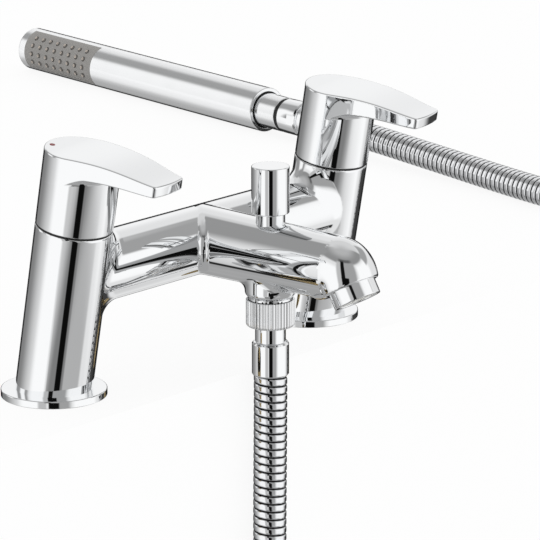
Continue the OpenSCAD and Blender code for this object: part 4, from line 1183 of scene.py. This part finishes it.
carrier = bpy.data.objects.new("nozzle field", bpy.data.meshes.new("nozzle field"))
bpy.context.scene.collection.objects.link(carrier)
nozzle_field, nozzle_values = nozzle_tree()
nozzles = grown(carrier, nozzle_field, "spray_jets", nozzle_values)
handset_place_m = handset_place.copy()
handset_place_m.translation *= MM
nozzles.data.transform(handset_place_m)
fit(nozzles, "handset", "spray_rubber", grey_rubber, "spray_nozzles")

# %% [markdown]
# ## Pieces that stay as CAD made them
# The pieces inside the mixer and under the deck keep their CAD meshes: their shapes are right, and they show
# only from below or when the diverter is lifted. Each gets the finish of its slot in the record.

# %% Finishes for the CAD nodes
# Machined brass: a quiet yellow with a soft sheen, as fine turning marks give
machined_brass = polished_metal("machined brass", "#baa67c", 0.22, 0.34)
# Lapped ceramic: a hard clean white with a clear highlight
alumina = moulded("polished alumina", "#e8e7e2", "#f2f1ee", 4, 0.15)
# Moulded acetal: a milky white with a broad dull highlight
acetal = moulded("white acetal", "#dcdbd6", "#e6e5e1", 6, 0.4)
finishes = {
    "chrome": chrome,
    "hose_metal": hose_material,
    "brass": machined_brass,
    "ceramic": alumina,
    "black_rubber": black_rubber,
    "spray_rubber": grey_rubber,
    "white_plastic": acetal,
    "hot_red": red_enamel,
}
for entry in frame["record"]["subparts"]:
    node = frame["nodes"][entry["node"]]
    node.data.materials.clear()
    node.data.materials.append(finishes[entry["material_slot"]])

# %% [markdown]
# ## The deck
# The mixer stands on a white bath rim with a straight front, and the hose hangs in front of it. Two plain
# faces are enough. The rim is matt and keeps a faint shadow, and most of what the camera sees of it is plain
# white. Chrome looks through it at the studio, except close to the handset. The handset lies on the deck, so
# the lower half of its tube shows the deck close by: black right under the tube, where hardly any light gets
# in, then grey, then white. A ramp over the distance from the tube's axis gives these tones to close
# reflections only. A grey board could be laid there instead, but it would show from the other sides.

# %% Tones of the deck close to the handset
SHADE_REACH_M = 0.27
SHADE_END = 200
TUBE_SHADES = [
    (0, 0.03), (6, 0.03), (7.5, 0.41), (12.6, 0.45), (17.7, 0.6), (21.3, 0.79), (26.4, 0.9), (60, 1.0),
]
HANDSET_SIDE = HANDSET_AXIS.cross(Vector((0, 0, 1)))


def tube_ramp(tree, off):
    widest = TUBE_SHADES[-1][0]
    share = add_node(tree, "ShaderNodeMath", {0: off, 1: widest * MM}, operation="DIVIDE")
    ramp = add_node(tree, "ShaderNodeValToRGB", {"Fac": share.outputs[0]})
    stops = ramp.color_ramp.elements
    for _ in TUBE_SHADES[2:]:
        stops.new(1.0)
    for stop, (distance, shade) in zip(stops, TUBE_SHADES):
        stop.position = distance / widest
        stop.color = (shade, shade, shade, 1)
    return ramp.outputs["Color"]


def tube_shade(tree, rays):
    place = add_node(tree, "ShaderNodeTexCoord")
    spot = add_node(tree, "ShaderNodeVectorMath", {0: place.outputs["Object"], 1: HANDSET_NUT_MM * MM},
                    operation="SUBTRACT")
    along = add_node(tree, "ShaderNodeVectorMath", {0: spot.outputs[0], 1: HANDSET_AXIS},
                     operation="DOT_PRODUCT")
    aside = add_node(tree, "ShaderNodeVectorMath", {0: spot.outputs[0], 1: HANDSET_SIDE},
                     operation="DOT_PRODUCT")
    off = add_node(tree, "ShaderNodeMath", {0: aside.outputs["Value"]}, operation="ABSOLUTE")
    near = add_node(tree, "ShaderNodeMath", {0: off.outputs[0], 1: SHADE_END * MM}, operation="LESS_THAN")
    past = add_node(tree, "ShaderNodeMath", {0: along.outputs["Value"], 1: 0.0}, operation="GREATER_THAN")
    close = add_node(tree, "ShaderNodeMath", {0: rays.outputs["Ray Length"], 1: SHADE_REACH_M},
                     operation="LESS_THAN")
    beside = add_node(tree, "ShaderNodeMath", {0: near.outputs[0], 1: past.outputs[0]}, operation="MULTIPLY")
    shown = add_node(tree, "ShaderNodeMath", {0: beside.outputs[0], 1: close.outputs[0]},
                     operation="MULTIPLY")
    tone = add_node(tree, "ShaderNodeEmission", {"Color": tube_ramp(tree, off.outputs[0]), "Strength": 1.0})
    clear = add_node(tree, "ShaderNodeBsdfTransparent")
    return add_node(tree, "ShaderNodeMixShader",
                    {0: shown.outputs[0], 1: clear.outputs[0], 2: tone.outputs[0]}).outputs[0]


print("the deck grows from black to white over", TUBE_SHADES[-1][0], "mm beside the handset")

# %% [markdown]
# ## The bath rim
# The rim itself is a flat top and a straight front. A box would add faces that no view needs. The material
# tells rays apart: the camera gets mostly plain white, mirrors get the tones above, and all other light meets
# the matt rim.

# %% Deck
DECK_FRONT = -43
DECK_BACK = 1500
DECK_SIDE = 1500
DECK_DROP = -560
DECK_WHITE = 0.9


# Moulded acrylic: an even white with a faint shadow, which leaves the chrome all the contrast
def deck_material():
    material = bpy.data.materials.new("white acrylic bath rim")
    material.use_nodes = True
    tree = material.node_tree
    tree.nodes.clear()
    matt = add_node(tree, "ShaderNodeBsdfDiffuse", {"Color": linear("#f9f9f9")})
    white = add_node(tree, "ShaderNodeEmission", {"Color": linear("#ffffff"), "Strength": 1.0})
    rays = add_node(tree, "ShaderNodeLightPath")
    seen = add_node(tree, "ShaderNodeMath", {0: rays.outputs["Is Camera Ray"], 1: DECK_WHITE},
                    operation="MULTIPLY")
    plain = add_node(tree, "ShaderNodeMixShader",
                     {0: seen.outputs[0], 1: matt.outputs[0], 2: white.outputs[0]})
    mixed = add_node(tree, "ShaderNodeMixShader",
                     {0: rays.outputs["Is Glossy Ray"], 1: plain.outputs[0], 2: tube_shade(tree, rays)})
    add_node(tree, "ShaderNodeOutputMaterial", {"Surface": mixed.outputs[0]})
    return material


deck_corners = [
    (-DECK_SIDE, DECK_BACK, 0), (-DECK_SIDE, DECK_FRONT, 0), (DECK_SIDE, DECK_FRONT, 0),
    (DECK_SIDE, DECK_BACK, 0), (-DECK_SIDE, DECK_FRONT, DECK_DROP), (DECK_SIDE, DECK_FRONT, DECK_DROP),
]
deck = make_piece("bath_rim", deck_corners, [(0, 1, 2, 3), (1, 4, 5, 2)])
deck.data.polygons.foreach_set("use_smooth", [False, False])
deck.data.materials.append(deck_material())
print("the deck's front edge is", -DECK_FRONT, "mm in front of the inlets")

# %% [markdown]
# ## The studio
# Chrome draws itself from the shapes in the room. Lamps alone would give a few hard spots on black. A product
# studio is a white tent with cards in it: bright panels to the sides, grey ones in front, a dark slit where
# the camera looks in and a dark line at the horizon. Real planes could stand there, but they would hide the
# part in other views, so the cards are painted on the world. The camera itself sees plain white, and matt
# pieces are lit by plain white. Each card has its left and right edges and how soft these are, its low and
# high edges and how soft these are, all in degrees, and its brightness. Zero degrees is where the camera
# stands, and 90 is to its right. A later card lies over an earlier one.

# %% Studio cards
STUDIO_BASE = 0.8
STUDIO_CARDS = [
    ("ceiling", -200, 200, 1, 1, 52, 95, 16, 1, 0.47),
    ("rear ceiling", 112, 248, 60, 60, 50, 77, 8, 34, 0.68),
    ("upper band", -125, 112, 20, 10, 43, 66, 8, 26, 0.28),
    ("left wall", -142, -84, 10, 14, -6, 58, 8, 10, 0.31),
    ("low left wall", -168, -100, 20, 66, -38, -4, 8, 8, 0.23),
    ("left panel", -76, -31, 20, 8, -30, 30, 10, 14, 1.02),
    ("floor", -200, 200, 1, 1, -95, -47, 1, 12, 0.36),
    ("front left grey", -32, -14, 8, 4, -25, 48, 8, 8, 0.52),
    ("front grey", -4, 38, 4, 12, -25, 48, 8, 8, 0.36),
    ("front floor", -28, 44, 4, 40, -50, -26, 8, 5, 0.21),
    ("right floor", 22, 78, 6, 10, -48, -31, 4, 4, 0.45),
    ("front ceiling", -26, 30, 14, 24, 49, 57, 4, 5, 0.13),
    ("right panel", 46, 104, 12, 14, -29, 38, 5, 12, 1.02),
    ("right screen", 96, 146, 10, 8, 25, 46, 6, 6, 0.36),
    ("right edge", 120, 160, 16, 14, -34, -9, 6, 6, 0.05),
    ("rear panel", 148, 214, 20, 16, 11, 30, 4, 20, 0.95),
    ("rear edge", 146, 214, 12, 12, -26, 9.5, 5, 3, 0.02),
    ("left floor", -190, -95, 20, 20, -50, -35, 6, 6, 0.36),
    ("handset glow", -148, -118, 24, 16, 24, 48, 8, 8, 0.36),
    ("handset window", -117, -96, 12, 8, -5, 31, 8, 12, 1.0),
    ("left table edge", -118, -88, 8, 8, -43.5, -38.5, 2, 2, 0.02),
    ("right table edge", 104, 128, 8, 8, -41, -36.5, 2, 2, 0.02),
    ("low slit", -3, 15, 3, 4, -72, -22, 6, 3, 0.004),
    ("middle slit", -9, 14, 3, 4, -23, -6, 3, 3, 0.004),
    ("front slit", -18, 8, 3, 4, -8, 9, 3, 3, 0.004),
    ("high slit", -18, -4, 4, 4, 6, 52, 3, 8, 0.006),
]


def edge_mask(tree, value, start, stop, soft_start, soft_stop):
    masks = []
    for edge, soft, way in ((start, soft_start, 1.0), (stop, soft_stop, -1.0)):
        masks.append(add_node(tree, "ShaderNodeMapRange", {
            "Value": value, "From Min": math.radians(edge - soft / 2),
            "From Max": math.radians(edge + soft / 2), "To Min": 0.5 - way / 2, "To Max": 0.5 + way / 2},
            interpolation_type="SMOOTHSTEP"))
    return add_node(tree, "ShaderNodeMath", {0: masks[0].outputs[0], 1: masks[1].outputs[0]},
                    operation="MULTIPLY").outputs[0]


def card_mask(tree, azimuth, height, edges):
    left, right, soft_left, soft_right, low, high, soft_low, soft_high = edges
    off = add_node(tree, "ShaderNodeMath", {0: azimuth, 1: math.radians((left + right) / 2)},
                   operation="SUBTRACT")
    wrapped = add_node(tree, "ShaderNodeMath", {0: off.outputs[0], 1: math.pi, 2: -math.pi}, operation="WRAP")
    half = (right - left) / 2
    wide = edge_mask(tree, wrapped.outputs[0], -half, half, soft_left, soft_right)
    tall = edge_mask(tree, height, low, high, soft_low, soft_high)
    return add_node(tree, "ShaderNodeMath", {0: wide, 1: tall}, operation="MULTIPLY").outputs[0]


print("studio cards:", ", ".join(card[0] for card in STUDIO_CARDS))

# %% [markdown]
# ## The world
# The cards are mixed one over the other into one colour for each direction. A picture wrapped round the scene
# would do the same, but its cards couldn't be read or changed one by one. Mirrors see this room, and the
# camera and matt pieces see plain white.

# %% The world around the part
def room_colour(tree):
    way = add_node(tree, "ShaderNodeTexCoord").outputs["Generated"]
    flat_back = Vector((camera_back.x, camera_back.y, 0)).normalized()
    ahead = add_node(tree, "ShaderNodeVectorMath", {0: way, 1: flat_back}, operation="DOT_PRODUCT")
    aside = add_node(tree, "ShaderNodeVectorMath", {0: way, 1: camera_right}, operation="DOT_PRODUCT")
    azimuth = add_node(tree, "ShaderNodeMath", {0: aside.outputs["Value"], 1: ahead.outputs["Value"]},
                       operation="ARCTAN2")
    split = add_node(tree, "ShaderNodeSeparateXYZ", {0: way})
    height = add_node(tree, "ShaderNodeMath", {0: split.outputs[2]}, operation="ARCSINE")
    colour = add_node(tree, "ShaderNodeRGB").outputs[0]
    colour.default_value = (STUDIO_BASE, STUDIO_BASE, STUDIO_BASE, 1)
    for name, *edges, shade in STUDIO_CARDS:
        mask = card_mask(tree, azimuth.outputs[0], height.outputs[0], edges)
        card = add_node(tree, "ShaderNodeMix", {"Factor": mask}, data_type="RGBA", label=name)
        tree.links.new(colour, card.inputs["A"])
        card.inputs["B"].default_value = (shade, shade, shade, 1)
        colour = card.outputs["Result"]
    return colour


def studio():
    world = bpy.data.worlds.new("white tent")
    world.use_nodes = True
    tree = world.node_tree
    tree.nodes.clear()
    room = add_node(tree, "ShaderNodeBackground", {"Color": room_colour(tree), "Strength": 1.0})
    white = add_node(tree, "ShaderNodeBackground", {"Color": linear("#ffffff"), "Strength": 1.0})
    rays = add_node(tree, "ShaderNodeLightPath")
    lit = add_node(tree, "ShaderNodeMixShader",
                   {0: rays.outputs["Is Diffuse Ray"], 1: room.outputs[0], 2: white.outputs[0]})
    seen = add_node(tree, "ShaderNodeMixShader",
                    {0: rays.outputs["Is Camera Ray"], 1: lit.outputs[0], 2: white.outputs[0]})
    add_node(tree, "ShaderNodeOutputWorld", {"Surface": seen.outputs[0]})
    return world


bpy.context.scene.world = studio()
bpy.context.scene.view_settings.view_transform = "Standard"
print("the world has", len(bpy.context.scene.world.node_tree.nodes), "nodes")
